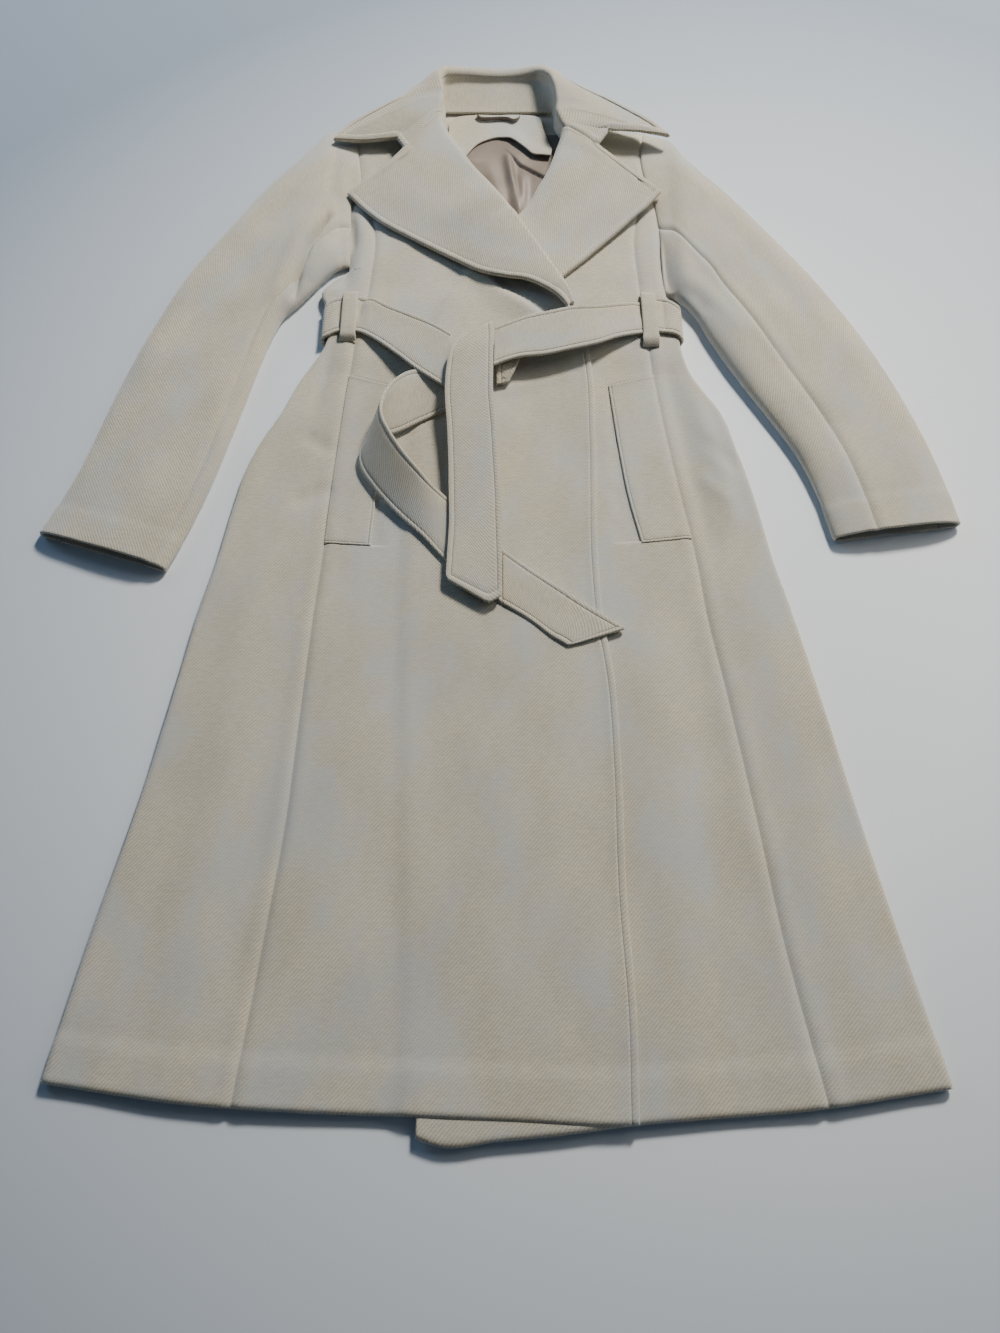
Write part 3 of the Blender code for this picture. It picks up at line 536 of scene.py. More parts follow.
# Soft folds in the body, each along a line of places: a ridge, or a trough where its height is
# below 0
Fold = namedtuple("Fold", "width height line")
BODY_FOLDS = [
    # from the armholes to the belt
    Fold(8, 2.4, ((-162, 968), (-153, 913), (-155, 868), (-161, 828))),
    Fold(5, -4.2, ((-168, 950), (-164, 905), (-168, 878), (-172, 850))),
    Fold(7, -1.6, ((-190, 848), (-172, 861))), Fold(5, 1.2, ((-192, 834), (-172, 840))),
    Fold(4.5, -2.6, ((181, 912), (181, 870), (185, 828))),
    Fold(8, 1.0, ((168, 930), (166, 880), (170, 835))),
    # hips
    Fold(12, 2.0, ((-208, 745), (-224, 689), (-241, 626), (-252, 566))),
    Fold(9, -1.8, ((-200, 646), (-166, 622))), Fold(9, -1.6, ((-206, 562), (-164, 580))),
    Fold(8, -2.4, ((-176, 762), (-184, 720), (-194, 670))),
    Fold(12, -2.6, ((173, 735), (183, 664), (191, 614), (197, 566), (203, 497))),
    Fold(10, 2.0, ((199, 716), (207, 664), (222, 602), (229, 531))),
    Fold(9, -1.4, ((206, 640), (240, 600))), Fold(8, 1.2, ((198, 600), (226, 560))),
    # under the belt
    Fold(14, -1.8, ((8, 728), (50, 742), (90, 752))),
    Fold(9, 1.2, ((-4, 700), (31, 708), (73, 722), (98, 742))),
    Fold(12, -1.0, ((-120, 752), (-70, 720), (-52, 690))),
    Fold(14, 0.7, ((-20, 690), (30, 640))), Fold(10, 0.7, ((110, 742), (80, 690), (84, 620))),
    # skirt
    Fold(24, 1.6, ((-262, 20), (-226, 560))), Fold(20, -1.4, ((-216, 60), (-196, 420))),
    Fold(34, 1.4, ((-150, 10), (-128, 470))), Fold(30, -1.1, ((-70, 30), (-60, 430))),
    Fold(38, 1.2, ((10, 120), (20, 560))), Fold(26, 1.4, ((146, 20), (132, 500))),
    Fold(20, -1.5, ((196, 30), (172, 470))), Fold(22, 1.7, ((288, 30), (236, 520))),
    # chest
    Fold(14, 0.9, ((-132, 862), (-96, 930))), Fold(13, 0.9, ((118, 846), (132, 930))),
    Fold(12, 0.6, ((-90, 850), (-40, 826))), Fold(14, -0.7, ((-128, 960), (-112, 1060))),
    Fold(14, -0.7, ((134, 950), (128, 1050)))]
# Long shallow waves that leave no stretch of the cloth quite flat: waves across and up the coat
# in 1 m, height in mm, and where they start
WAVES = [(3.1, 2.3, 0.32, 0.4), (-4.7, 3.9, 0.24, 1.9), (6.2, -1.7, 0.26, 4.0),
         (1.4, 6.8, 0.20, 2.6), (9.5, 5.1, 0.10, 5.2), (-7.9, 10.3, 0.08, 0.9)]


def bell(x, width):
    """1 at 0, fading out over the width on both sides."""
    return np.exp(-(np.asarray(x, dtype=float) / width) ** 2)


def nearest(x, y, line):
    """Each place's distance from a line of points, and how far along the line that is, from 0
    to 1."""
    line = np.asarray(line, dtype=float)[:, :2]
    steps = np.linalg.norm(np.diff(line, axis=0), axis=1)
    starts = np.concatenate(([0], np.cumsum(steps)))
    apart = np.full(np.broadcast(x, y).shape, 1e9)
    place = np.zeros(apart.shape)
    for a, b, start, step in zip(line, line[1:], starts, steps):
        run = b - a
        along = np.clip(((x - a[0]) * run[0] + (y - a[1]) * run[1]) / max(step * step, 1e-9), 0, 1)
        away = np.hypot(x - a[0] - along * run[0], y - a[1] - along * run[1])
        closer = away < apart
        apart = np.where(closer, away, apart)
        place = np.where(closer, (start + along * step) / starts[-1], place)
    return apart, place


def folded(table, x, y):
    """Height that a table's folds give the cloth."""
    height = np.zeros(np.broadcast(x, y).shape)
    for fold in table:
        apart, place = nearest(x, y, fold.line)
        height += fold.height * bell(apart, fold.width) * (1 - 0.8 * (2 * place - 1) ** 4)
    return height


def waves(x, y):
    return sum(size * np.sin(2 * math.pi * (across * x + up * y) * MM + start)
               for across, up, size, start in WAVES)


def seam_dip(distance):
    """A seam pulls the cloth down, and its allowances fill it out beside that."""
    return -SEAM_DEPTH * bell(distance, 2.8) + 0.45 * bell(np.asarray(distance) - 9, 4.5)


def stitch_dip(distance, inset=STITCH_INSET):
    """A line of topstitching sinks into the cloth, which swells between it and the edge."""
    return (0.35 * bell(np.asarray(distance) - 0.5 * inset, 0.35 * inset)
            - STITCH_DEPTH * bell(np.asarray(distance) - inset, 1.0))


def unit(vectors):
    vectors = np.asarray(vectors, dtype=float)
    return vectors / np.linalg.norm(vectors, axis=-1, keepdims=True)


def between(start, end, count):
    """Even distances between two for each row, without the two themselves."""
    share = np.linspace(0, 1, count + 2)[1:-1]
    return start[:, None] + (end - start)[:, None] * share


def upper_face(points, wall):
    """A grid moved out from its wall's middle to the face that shows."""
    out = unit(np.cross(np.gradient(points, axis=1), np.gradient(points, axis=0)))
    out = out * np.where(out[..., 2:] < 0, -1, 1)
    half = np.broadcast_to(wall, points.shape[:2])[..., None] / 2
    return points + out * (half - STITCH_SINK)


def inset_line(points, near, inset=STITCH_INSET):
    """The line that runs the given distance inside the far ends of a grid's rows."""
    found = []
    for row, away in zip(points, near):
        inside = np.flatnonzero(away[::-1] >= inset)
        if len(inside) and inside[0] > 0:
            i = len(away) - 1 - inside[0]
            share = (away[i] - inset) / max(away[i] - away[i + 1], 1e-6)
            found.append(row[i] + (row[i + 1] - row[i]) * share)
    return np.array(found)


def stitching(name, lines):
    """Topstitching: a bead of the wool's own thread for each stitch along the lines."""
    form = bmesh.new()
    for line in lines:
        run = lengths(line[None], 1)[0]
        count = int(run[-1] / STITCH_PITCH)
        at = (np.arange(count) + 0.5) * run[-1] / count
        places, ahead = (np.column_stack([np.interp(at + step, run, line[:, k])
                                          for k in range(3)]) for step in (-1, 1))
        for start, end in zip(places, ahead):
            turn = Vector(end - start).to_track_quat("X", "Z").to_matrix().to_4x4()
            place = Matrix.Translation(((start + end) / 2 - (0, MIDDLE, 0)) * MM)
            bmesh.ops.create_icosphere(form, subdivisions=1, radius=MM, matrix=place @ turn
                                       @ Matrix.Diagonal((*STITCH_SIZE, 1)))
    piece = placed(name, form, THREAD)
    piece.data.uv_layers.new(name="cloth")
    piece.data.shade_smooth()
    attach(piece, "root")


THREAD_COLOUR = (0.60, 0.565, 0.49, 1)
THREAD, _, thread_shader = material("oatmeal thread", 0.7, 0.5)
thread_shader.inputs["Base Color"].default_value = THREAD_COLOUR


def roll_frames(side):
    """Each lapel row's base on the front, with the direction from it towards the V."""
    table = LAPELS[side]
    turn = OUTWARD[side]
    frames = []
    for i, row in enumerate(table):
        before, after = table[max(i - 1, 0)], table[min(i + 1, len(table) - 1)]
        square = unit((turn * (after.y - before.y), -turn * (after.x - before.x)))
        gorge = unit((row.x - row.edge_x, row.y - row.edge_y))
        share = GORGE_SHARES[i] if i < len(GORGE_SHARES) else 0
        toward = unit(gorge * share + square * (1 - share))
        base = np.array((row.x, row.y)) - toward * ROLL_WIDTH * row.roll
        frames.append((*base, *toward))
    return frames


def front_edge(side, y):
    """A front's inner edge: its free edge, then the base of its lapel's roll."""
    lower = RIGHT_EDGE if side == "right" else LEFT_EDGE
    upper = [(base[1], base[0]) for base in reversed(roll_frames(side))]
    line = [(row.y, row.x) for row in lower if row.y < upper[0][0]] + upper
    x = curve([p[0] for p in line], [p[1] for p in line], y)
    return x + OUTWARD[side] * ROLL_GAP * blend(lower[-1].y - 4, lower[-1].y + 6, y)


def outer_line(side, y):
    """A front's outer edge: the princess seam, then the armhole."""
    return np.where(y < SEAM_TOP, read(SIDES[side], y, "seam"), read(ARMHOLES[side], y, "out"))


def under_welt(side, x, y):
    """1 under a pocket welt, 0 beside it."""
    table = sorted(POCKETS[side], key=lambda row: row.y)
    inner = np.abs(read(table, y, "x"))
    share = np.clip((np.abs(x) - inner) / POCKET_WIDTH[side], 0, 1)
    bottom = table[0].y + (table[0].seam_y - table[0].y) * share
    top = table[-1].y + (table[-1].seam_y - table[-1].y) * share
    return (blend(-1.4, 0.2, np.abs(x) - inner) * blend(-1.4, 0.2, y - bottom)
            * blend(-1.4, 0.2, top - y))


def front_surface(side, x, y):
    """Height of a front's middle, without its seams and edges."""
    height = front_height(y) + folded(BODY_FOLDS, x, y) + waves(x, y)
    if side == "right":
        over = blend(-18, -6, x - front_edge("left", y)) * (1 - blend(950, 985, y))
        apart = nearest(x, y, CROSSING_LINE)[0]
        beyond = ((x - HOLLOW_START[0]) * HOLLOW_WAY[0]
                  + (y - HOLLOW_START[1]) * HOLLOW_WAY[1])
        hollow = blend(-3, 9, beyond) * (1 - blend(28, 42, beyond)) * blend(-14, 4, x)
        height = (height + OVER * over + CROSSING * (1 - blend(32, 88, apart))
                  - HOLLOW_DEPTH * hollow)
    return height


def side_hem(side):
    return HEM if side == "right" else UNDERLAP_HEM


def turned_hem(up):
    """The folded hem's roll, and the line where its turned-in cloth ends."""
    return (-2.4 * (1 - np.clip(up / 4.5, 0, 1)) ** 2 - 0.3 * bell(up - HEM_TURN, 3)
            + 0.25 * (1 - blend(HEM_TURN - 12, HEM_TURN + 4, up)))


def hem_wall(up):
    """The wall's thickness, with the turned-in cloth along the hem."""
    return HEM_WALL - (HEM_WALL - CLOTH) * blend(HEM_TURN - 14, HEM_TURN + 2, up)


def rows_up(top, step=5.0):
    """Levels from the hem to the top, close together at the hem and at the pockets' ends."""
    even = np.linspace(10, top, int(top / step))
    fine = np.concatenate([np.arange(low, high, 1) for low, high in POCKET_ENDS])
    start = [0, 0.15, 0.6, 1.3, 2.2, 3.2, 4.5, 7]
    apart = np.abs(even[:, None] - fine).min(axis=1)
    return np.sort(np.concatenate((start, even[apart > 0.8], fine)))


for side, sign in OUTWARD.items():
    y = rows_up(shoulder(side))
    outer = sign * (outer_line(side, y) - SEAM_GAP / 2)
    top = shoulder(side)
    climb = (NECK_POINT - top) * blend(1040, top, y)
    width = np.abs(front_edge(side, y + climb) - outer)
    pocket = np.full(len(y), POCKET_WIDTH[side])
    d = np.hstack((np.tile(SEAMED, (len(y), 1)),
                   between(np.full(len(y), SEAMED[-1]), pocket - 4, 7),
                   pocket[:, None] + np.arange(-3.5, 3.6, 0.7),
                   between(pocket + 4, width - STITCHED[-1], 36),
                   width[:, None] - STITCHED[::-1]))
    x = outer[:, None] - sign * d
    level = all_across(y, d)
    inner = width[:, None] - d
    edge_top = RIGHT_EDGE[-1].y
    free = 1 - blend(edge_top, edge_top + 16, level) if side == "right" else 0
    welt = under_welt(side, x, level)
    z = (front_surface(side, x, level) + seam_dip(d) * (1 - 0.6 * welt) - POCKET_SINK * welt
         + stitch_dip(inner) * free + turned_hem(level))
    z = z - (FRONT - BACK - CLOTH - GAP) * blend(top - 14, top, level)
    up = (level + hem_shift(side_hem(side), x, level)
          + climb[:, None] * d / width[:, None])
    wall = np.maximum(CLOTH + EDGE_TURN * (1 - blend(8, 11, inner)) * free, hem_wall(level))
    laid = np.stack((x, up, z), axis=2)
    cloth("front_" + side, laid, WOOL,
          ["back_" + side, "side_" + side] + (["front_left"] if side == "right" else []),
          thickness=wall, grain=np.stack((x, up), axis=2), sewn=("first",))
    if side == "right":
        below = (y > 4) & (y < edge_top)
        stitching("front_stitching", [inset_line(upper_face(laid, wall)[below], inner[below])])

# ---------------------------------------------------------------- Side panels
# From the princess seam round the side fold and in under the coat. Above the underarm they end
# in the armhole seam.


def along_rows(paths, distances):
    """Points at the given distances along each row's path."""
    run = lengths(paths, 1)
    return np.stack([np.column_stack([np.interp(d, r, path[:, k]) for k in range(3)])
                     for path, r, d in zip(paths, run, distances)])


for side, sign in OUTWARD.items():
    underarm = ARMHOLES[side][0].y
    y = np.unique(np.concatenate((rows_up(SEAM_TOP - 3), [underarm - 6, underarm - 2, underarm,
                                                          underarm + 0.6, underarm + 3])))
    seam = read(SIDES[side], y, "seam") + SEAM_GAP / 2
    top, low = front_height(y), back_height(y)
    half = (top - low) / 2
    turn = read(SIDES[side], y, "fold") - CLOTH / 2 - FOLD_BULGE * half
    angle = np.radians(np.linspace(90, -90, 15))
    fold = np.stack((turn[:, None] + FOLD_BULGE * half[:, None] * np.cos(angle),
                     np.broadcast_to(y[:, None], (len(y), len(angle))),
                     (low + half)[:, None] + half[:, None] * np.sin(angle)), axis=2)
    inward = turn - TUCK * (1 - 0.9 * blend(underarm - 40, underarm - 5, y))
    start = np.stack((seam, y, top), axis=1)[:, None]
    end = np.stack((inward, y, low), axis=1)[:, None]
    paths = np.concatenate((start, fold, end), axis=1)
    armhole = read(ARMHOLES[side], y, "out") - SEAM_GAP
    flat = np.stack((np.linspace(seam, armhole, 17, axis=1),
                     np.broadcast_to(y[:, None], (len(y), 17)),
                     np.broadcast_to(top[:, None], (len(y), 17))), axis=2)
    paths = np.where((y > underarm)[:, None, None], flat, paths)
    width = lengths(paths, 1)[:, -1]
    reach = spread(width, SEAMED, FREE + [3, 6], 44)
    laid = along_rows(paths, reach)
    x, level = sign * laid[..., 0], laid[..., 1].copy()
    upper = blend(0.2, 0.9, (laid[..., 2] - low[:, None]) / (2 * half[:, None]))
    at_armhole = np.where((y > underarm)[:, None], width[:, None] - reach, 99)
    laid[..., 2] += upper * (folded(BODY_FOLDS, x, level) + waves(x, level) + seam_dip(reach)
                             + seam_dip(at_armhole) + turned_hem(level))
    laid[..., 0] = x
    laid[..., 1] = level + hem_shift(side_hem(side), x, level)
    wall = CLOTH + (hem_wall(level) - CLOTH) * upper
    cloth("side_" + side, laid, WOOL, ["floor", "back_" + side], thickness=wall,
          grain=np.stack((sign * (seam[:, None] + reach), laid[..., 1]), axis=2),
          sewn=("first",))

# ---------------------------------------------------------------- Pocket welts
# A slanted strip let in beside each princess seam, flush with the front and stitched down along
# its inner side and its foot. The hand goes in behind its upper end.
WELT_RISE = CLOTH + 0.1     # a welt lies on the front's sunk part
WELT_INSET = 2.6            # from its edge to its topstitching
WELT_EDGE = FREE + [2.2, 2.6, 3, 3.6, 5]


def smooth(table, t, corners=()):
    """The table's rows at t, from 0 to 1, smooth between rows but sharp at the given ones."""
    rows = np.array(table, dtype=float)
    ends = [0, *corners, len(rows) - 1]
    index = np.asarray(t, dtype=float) * (len(rows) - 1)
    found = np.empty((*index.shape, rows.shape[1]))
    for first, last in zip(ends, ends[1:]):
        part = rows[first:last + 1]
        step = np.maximum(np.linalg.norm(np.diff(part, axis=0), axis=1), 1e-6)
        places = np.concatenate(([0], np.cumsum(step)))
        here = (index >= first) & (index <= last)
        at = np.interp(index[here] - first, range(len(part)), places)
        found[here] = curve(places, part, at)
    return found


for side, sign in OUTWARD.items():
    table = POCKETS[side]
    long = math.dist(table[0][:2], table[-1][:2])
    v = spread(long, WELT_EDGE, WELT_EDGE, 44)[0] / long
    line = smooth(table, v)
    inner = line[:, :2]
    outer = np.stack((sign * (read(SIDES[side], line[:, 2], "seam") - SEAM_GAP), line[:, 2]),
                     axis=1)
    width = np.linalg.norm(outer - inner, axis=1)
    d = spread(width, WELT_EDGE, SEAMED[:8], 10)
    share = (d / width[:, None])[..., None]
    plan = inner[:, None] + (outer - inner)[:, None] * share
    x, level = plan[..., 0], plan[..., 1]
    to_foot, to_mouth = (1 - v)[:, None] * long, v[:, None] * long
    near = np.minimum(d, to_foot)
    z = (front_surface(side, x, level) - POCKET_SINK + WELT_RISE
         + 0.6 * seam_dip(width[:, None] - d)
         + 0.3 * bell(near - 1.2, 0.9) - 0.6 * bell(near - WELT_INSET, 0.8)
         + 0.5 * bell(to_mouth - 1, 2))
    laid = np.stack((x, level, z), axis=2)
    cloth("pocket_welt_" + side, laid, WOOL, ["front_" + side], grain=plan, sewn=("last",))
    face = upper_face(laid, CLOTH)
    shown = (v > 0.02) & (v < 0.985)
    down = inset_line(face[shown, ::-1], d[shown, ::-1], WELT_INSET)
    across = face.transpose(1, 0, 2)[5:-6]
    foot = inset_line(across, np.broadcast_to(to_foot.T, across.shape[:2]), WELT_INSET)
    stitching("pocket_stitching_" + side, [down, foot])

# ---------------------------------------------------------------- Sleeves
# Two-piece sleeves that lie flattened at the coat's sides: the upper sleeve goes over the top
# and round the upper fold, the under sleeve round the lower fold and along beneath. The sleeve
# head stands a little above the armhole seam.
# Each row is a line across the sleeve, from its upper fold to its lower one, with its height and
# the share across where the two parts' seam lies
Sleeve = namedtuple("Sleeve", "x y in_x in_y rise seam")
SLEEVES = {
    "right": [
        Sleeve(-174, 1096, -170, 878, 5.8, 0.74), Sleeve(-200, 1093, -177, 873, 13, 0.75),
        Sleeve(-222, 1061, -185, 867, 17, 0.76), Sleeve(-246, 1028, -194, 857, 18, 0.78),
        Sleeve(-270, 994, -203, 844, 18, 0.81), Sleeve(-291, 958, -212, 831, 18, 0.84),
        Sleeve(-314, 916, -222, 818, 18, 0.87), Sleeve(-340, 868, -234, 803, 18, 0.88),
        Sleeve(-366, 802, -247, 765, 17, 0.89), Sleeve(-389, 728, -262, 699, 17, 0.90),
        Sleeve(-404, 668, -275, 640, 16, 0.90), Sleeve(-417, 612, -289, 581, 16, 0.90),
        Sleeve(-431, 568, -304, 532, 15, 0.90), Sleeve(-447, 527, -321, 487, 14, 0.90)],
    "left": [
        Sleeve(174, 1092, 187, 836, 5.8, 0.62), Sleeve(200, 1077, 193, 828, 13, 0.62),
        Sleeve(217, 1046, 200, 820, 17, 0.63), Sleeve(236, 1018, 208, 809, 18, 0.64),
        Sleeve(258, 990, 215, 797, 18, 0.64), Sleeve(283, 953, 222, 778, 18, 0.65),
        Sleeve(310, 911, 231, 757, 18, 0.65), Sleeve(340, 862, 243, 731, 18, 0.66),
        Sleeve(370, 806, 258, 702, 17, 0.67), Sleeve(394, 752, 275, 671, 17, 0.68),
        Sleeve(413, 700, 290, 642, 16, 0.68), Sleeve(429, 645, 304, 610, 16, 0.68),
        Sleeve(441, 590, 316, 568, 15, 0.68), Sleeve(449, 538, 325, 521, 14, 0.68)],
}
BACK_SEAM = 0.15    # share across where the two parts meet underneath
EDGE_HEIGHT = 0.3   # height of a fold's outermost line, as a share of the sleeve's own
CROWN = 3.2         # how level a flattened sleeve's upper side is
CUFF_TURN = 38      # how deep the cuff is turned in
SLEEVE_FOLDS = [
    # right sleeve: the upper sleeve hangs over the under sleeve along a deep crease
    Fold(4.2, -11.0, ((-193, 943), (-212, 900), (-221, 857), (-225, 822))),
    Fold(10, 3.6, ((-206, 955), (-226, 903), (-236, 859), (-244, 812), (-266, 745))),
    Fold(10, 2.4, ((-186, 905), (-199, 878), (-209, 848))),
    Fold(18, -4.0, ((-236, 985), (-266, 911), (-290, 862), (-326, 800), (-350, 740))),
    Fold(18, 1.8, ((-262, 985), (-300, 920), (-348, 830), (-380, 740))),
    Fold(7, -2.2, ((-246, 770), (-264, 715), (-284, 655))),
    Fold(6, 1.6, ((-178, 1040), (-183, 1010), (-181, 975))),
    Fold(5, -1.3, ((-190, 1046), (-196, 1010), (-194, 965))),
    Fold(16, 1.0, ((-330, 700), (-372, 600))), Fold(14, -1.0, ((-300, 680), (-330, 560))),
    # left sleeve
    Fold(5, -3.6, ((184, 908), (184, 868), (188, 826))),
    Fold(11, 1.8, ((198, 915), (200, 870), (207, 825))),
    Fold(8, -1.8, ((197, 838), (212, 822), (226, 798))),
    Fold(9, 1.2, ((214, 846), (236, 812), (262, 768))),
    Fold(20, 1.2, ((204, 1040), (250, 960), (310, 880))),
    Fold(14, -1.2, ((250, 940), (300, 850), (340, 760))),
    Fold(18, 1.0, ((350, 800), (392, 690))), Fold(14, -1.0, ((300, 740), (332, 640))),
    Fold(14, 0.8, ((400, 640), (424, 560)))]


def crown(w):
    """Height across a sleeve's upper side."""
    return EDGE_HEIGHT + (1 - EDGE_HEIGHT) * np.sqrt(1 - np.abs(2 * np.asarray(w) - 1) ** CROWN)


def sleeve_paths(side, v, w, lift):
    """Rows of points round a sleeve at the shares v down its length. w and lift, (v, n), run
    across it and up it."""
    x, y, in_x, in_y, rise, _ = smooth(SLEEVES[side], v).T[:, :, None]
    place_x, place_y = x + (in_x - x) * w, y + (in_y - y) * w
    rooted = 1 - blend(0, 0.07, v)[:, None]
    armhole = OUTWARD[side] * (read(ARMHOLES[side], place_y, "out") + SEAM_GAP)
    place_x = place_x + (armhole - place_x) * rooted
    return np.stack((place_x, place_y, CLOTH / 2 + rise * lift), axis=2)


for side, sign in OUTWARD.items():
    table = SLEEVES[side]
    long = lengths(np.array([[(row.x, row.y, 0) for row in table]]), 1)[0, -1]
    v = spread(long, SEAMED, FREE + [3.5, 6, 10], 124)[0] / long
    seams = smooth(table, v)[:, 5]
    round_fold = [(BACK_SEAM, 0), (0.03, 0), (0.015, 0.03), (0.006, 0.12), (0.0, EDGE_HEIGHT)]
    w = [[p[0] for p in round_fold] + list(0.14 * np.linspace(0.03, 1, 12) ** 2)
         + list(np.linspace(0.15, seam, 40)) for seam in seams]
    lift = [[p[1] for p in round_fold] + list(crown(row[len(round_fold):])) for row in w]
    upper = sleeve_paths(side, v, np.array(w), np.array(lift))
    round_fold = [(1.0, EDGE_HEIGHT), (0.994, 0.12), (0.985, 0.03), (0.97, 0),
                  (BACK_SEAM + 0.003, 0)]
    w = [list(np.linspace(seam + 0.0002, 0.95, 14)) + [0.97, 0.98, 0.988, 0.994, 0.998]
         + [p[0] for p in round_fold] for seam in seams]
    lift = [list(crown(row[:-len(round_fold)])) + [p[1] for p in round_fold] for row in w]
    under = sleeve_paths(side, v, np.array(w), np.array(lift))
    for name, paths, first, last, count, sewn in (
            ("sleeve_upper_", upper, SEWN + [3, 8], SEAMED, 50, ("start", "last")),
            ("sleeve_under_", under, SEAMED, SEWN + [3, 8], 44, ("start", "first"))):
        width = lengths(paths, 1)[:, -1]
        reach = spread(width, first, last, count)
        laid = along_rows(paths, reach)
        at_seam = reach if name == "sleeve_under_" else width[:, None] - reach
        rise = smooth(table, v)[:, 4][:, None]
        on_top = blend(0.40, 0.75, (laid[..., 2] - CLOTH / 2) / rise)
        cuff, root = all_across((1 - v) * long, reach), all_across(v * long, reach)
        laid[..., 2] += on_top * (
            folded(SLEEVE_FOLDS, laid[..., 0], laid[..., 1]) * blend(-2, 22, root)
            + 1.2 * waves(laid[..., 0] * 1.7, laid[..., 1] * 1.7)
            + 0.8 * seam_dip(at_seam) + 0.6 * seam_dip(root)
            - 0.4 * bell(cuff - CUFF_TURN, 2))
        wall = CLOTH + EDGE_TURN * (1 - blend(CUFF_TURN - 6, CUFF_TURN + 2, cuff))
        cloth(name + side, laid, WOOL, ["floor"], thickness=wall, sewn=sewn)

# ---------------------------------------------------------------- Lapels
# Each lapel is the front's own top turned back: it rolls over without a crease and lies out to
# its edge. Facing and front are pressed together there and topstitched along the edge.
ROLL_LIFT = 0.5     # a lapel is thicker than its front, so it starts this much higher
ROLL_STEPS = 24
FACE_STEPS = 60
LAPEL_WALL = 3.9
LAPEL_SWELL = 1.32  # what the seam allowances inside a lapel's edge add
LAPEL_TIP = 2       # the row of a lapel's corner
LAPEL_ROW = 14      # from one row of a lapel's table to the next, about


def gorge_dip(distance):
    """The seam between a lapel and the collar."""
    return -3.4 * bell(distance, 1.7) + 0.6 * bell(np.asarray(distance) - 6, 3)


def edge_swell(near):
    """1 over the seam allowances inside an edge, 0 further in."""
    return 1 - blend(4.5, 8, near)


def bezier(a, b, c, d, count):
    """Each row's curve from a to d, drawn towards b and c."""
    t = np.linspace(0, 1, count)[None, :, None]
    a, b, c, d = (p[:, None] for p in (a, b, c, d))
    return (1 - t) ** 3 * a + 3 * t * (1 - t) ** 2 * b + 3 * t * t * (1 - t) * c + t ** 3 * d


gorge_sections = {}     # each lapel's section at the seam, for the collar's ends
for side, sign in OUTWARD.items():
    table = LAPELS[side]
    last = len(table) - 1
    corner = LAPEL_TIP / last
    v = np.unique(np.concatenate((
        np.array(SEWN) / LAPEL_ROW / last, np.linspace(0, corner, 34),
        np.linspace(corner, 1, 80), 1 - np.array(FREE) / LAPEL_ROW / last)))
    x, y, roll = smooth([row[:3] for row in table], v).T
    edge = smooth([row[3:] for row in table], v, (LAPEL_TIP,))
    base_x, base_y, toward_x, toward_y = smooth(roll_frames(side), v).T
    toward = unit(np.stack((toward_x, toward_y, np.zeros_like(v)), axis=1))
    low = np.stack((base_x, base_y, front_surface(side, base_x, base_y) + ROLL_LIFT), axis=1)
    angle = np.linspace(-math.pi / 2, math.pi / 2, ROLL_STEPS)[None, :, None]
    rise = np.array((0, 0, 1.0)) * roll[:, None]
    rolled = (low[:, None] + rise[:, None] * (1 + np.sin(angle))
              + toward[:, None] * (ROLL_WIDTH * roll)[:, None, None] * np.cos(angle))
    top = low + 2 * rise
    reach = np.linalg.norm(edge - top, axis=1)[:, None]
    face = bezier(top, top - toward * 0.3 * reach, edge + 0.35 * (top - edge), edge, FACE_STEPS)
    paths = np.concatenate((rolled, face[:, 1:]), axis=1)
    gorge_sections[side] = paths[0]
    width = lengths(paths, 1)[:, -1]
    d = spread(width, FREE, STITCHED, 48)
    laid = along_rows(paths, d)
    near = np.minimum(nearest(laid[..., 0], laid[..., 1], edge)[0], width[:, None] - d)
    share = d / width[:, None]
    settled = blend(0, 0.1, v)[:, None] * blend(0.25, 0.8, share) * blend(0, 30, near)
    laid[..., 2] += (1.6 * waves(laid[..., 0] * 1.5 + 40, laid[..., 1] * 1.5) * settled
                     + blend(0.2, 0.4, share) * stitch_dip(near))
    from_gorge = lengths(laid, 0)
    laid[..., 2] += gorge_dip(from_gorge) * blend(0.05, 0.2, share)
    wall = LAPEL_WALL + LAPEL_SWELL * edge_swell(near) * blend(0.2, 0.4, share)
    cloth("lapel_" + side, laid, WOOL, ["front_" + side], thickness=wall,
          sewn=("start", "first"))
    shown = v > 0.012
    stitching("lapel_stitching_" + side, [inset_line(upper_face(laid, wall)[shown], near[shown])])

# ---------------------------------------------------------------- Inside of the neck
# A wool facing sewn inside the back of the neck, satin lining below it, and a hanger loop of the
# same satin, sewn down at both ends.
LINING = 0.8
LINING_WIDTH = 150
LINING_LENGTH = (895, 1092)     # from and to these levels
HANGER_TAPE = (5.8, 10.8)   # the tape stands on edge between these heights
TAPE_ROWS = (70, 7)
SATIN_LIGHT = (0.28, 0.235, 0.198)
SATIN_DEEP = (0.19, 0.155, 0.13)

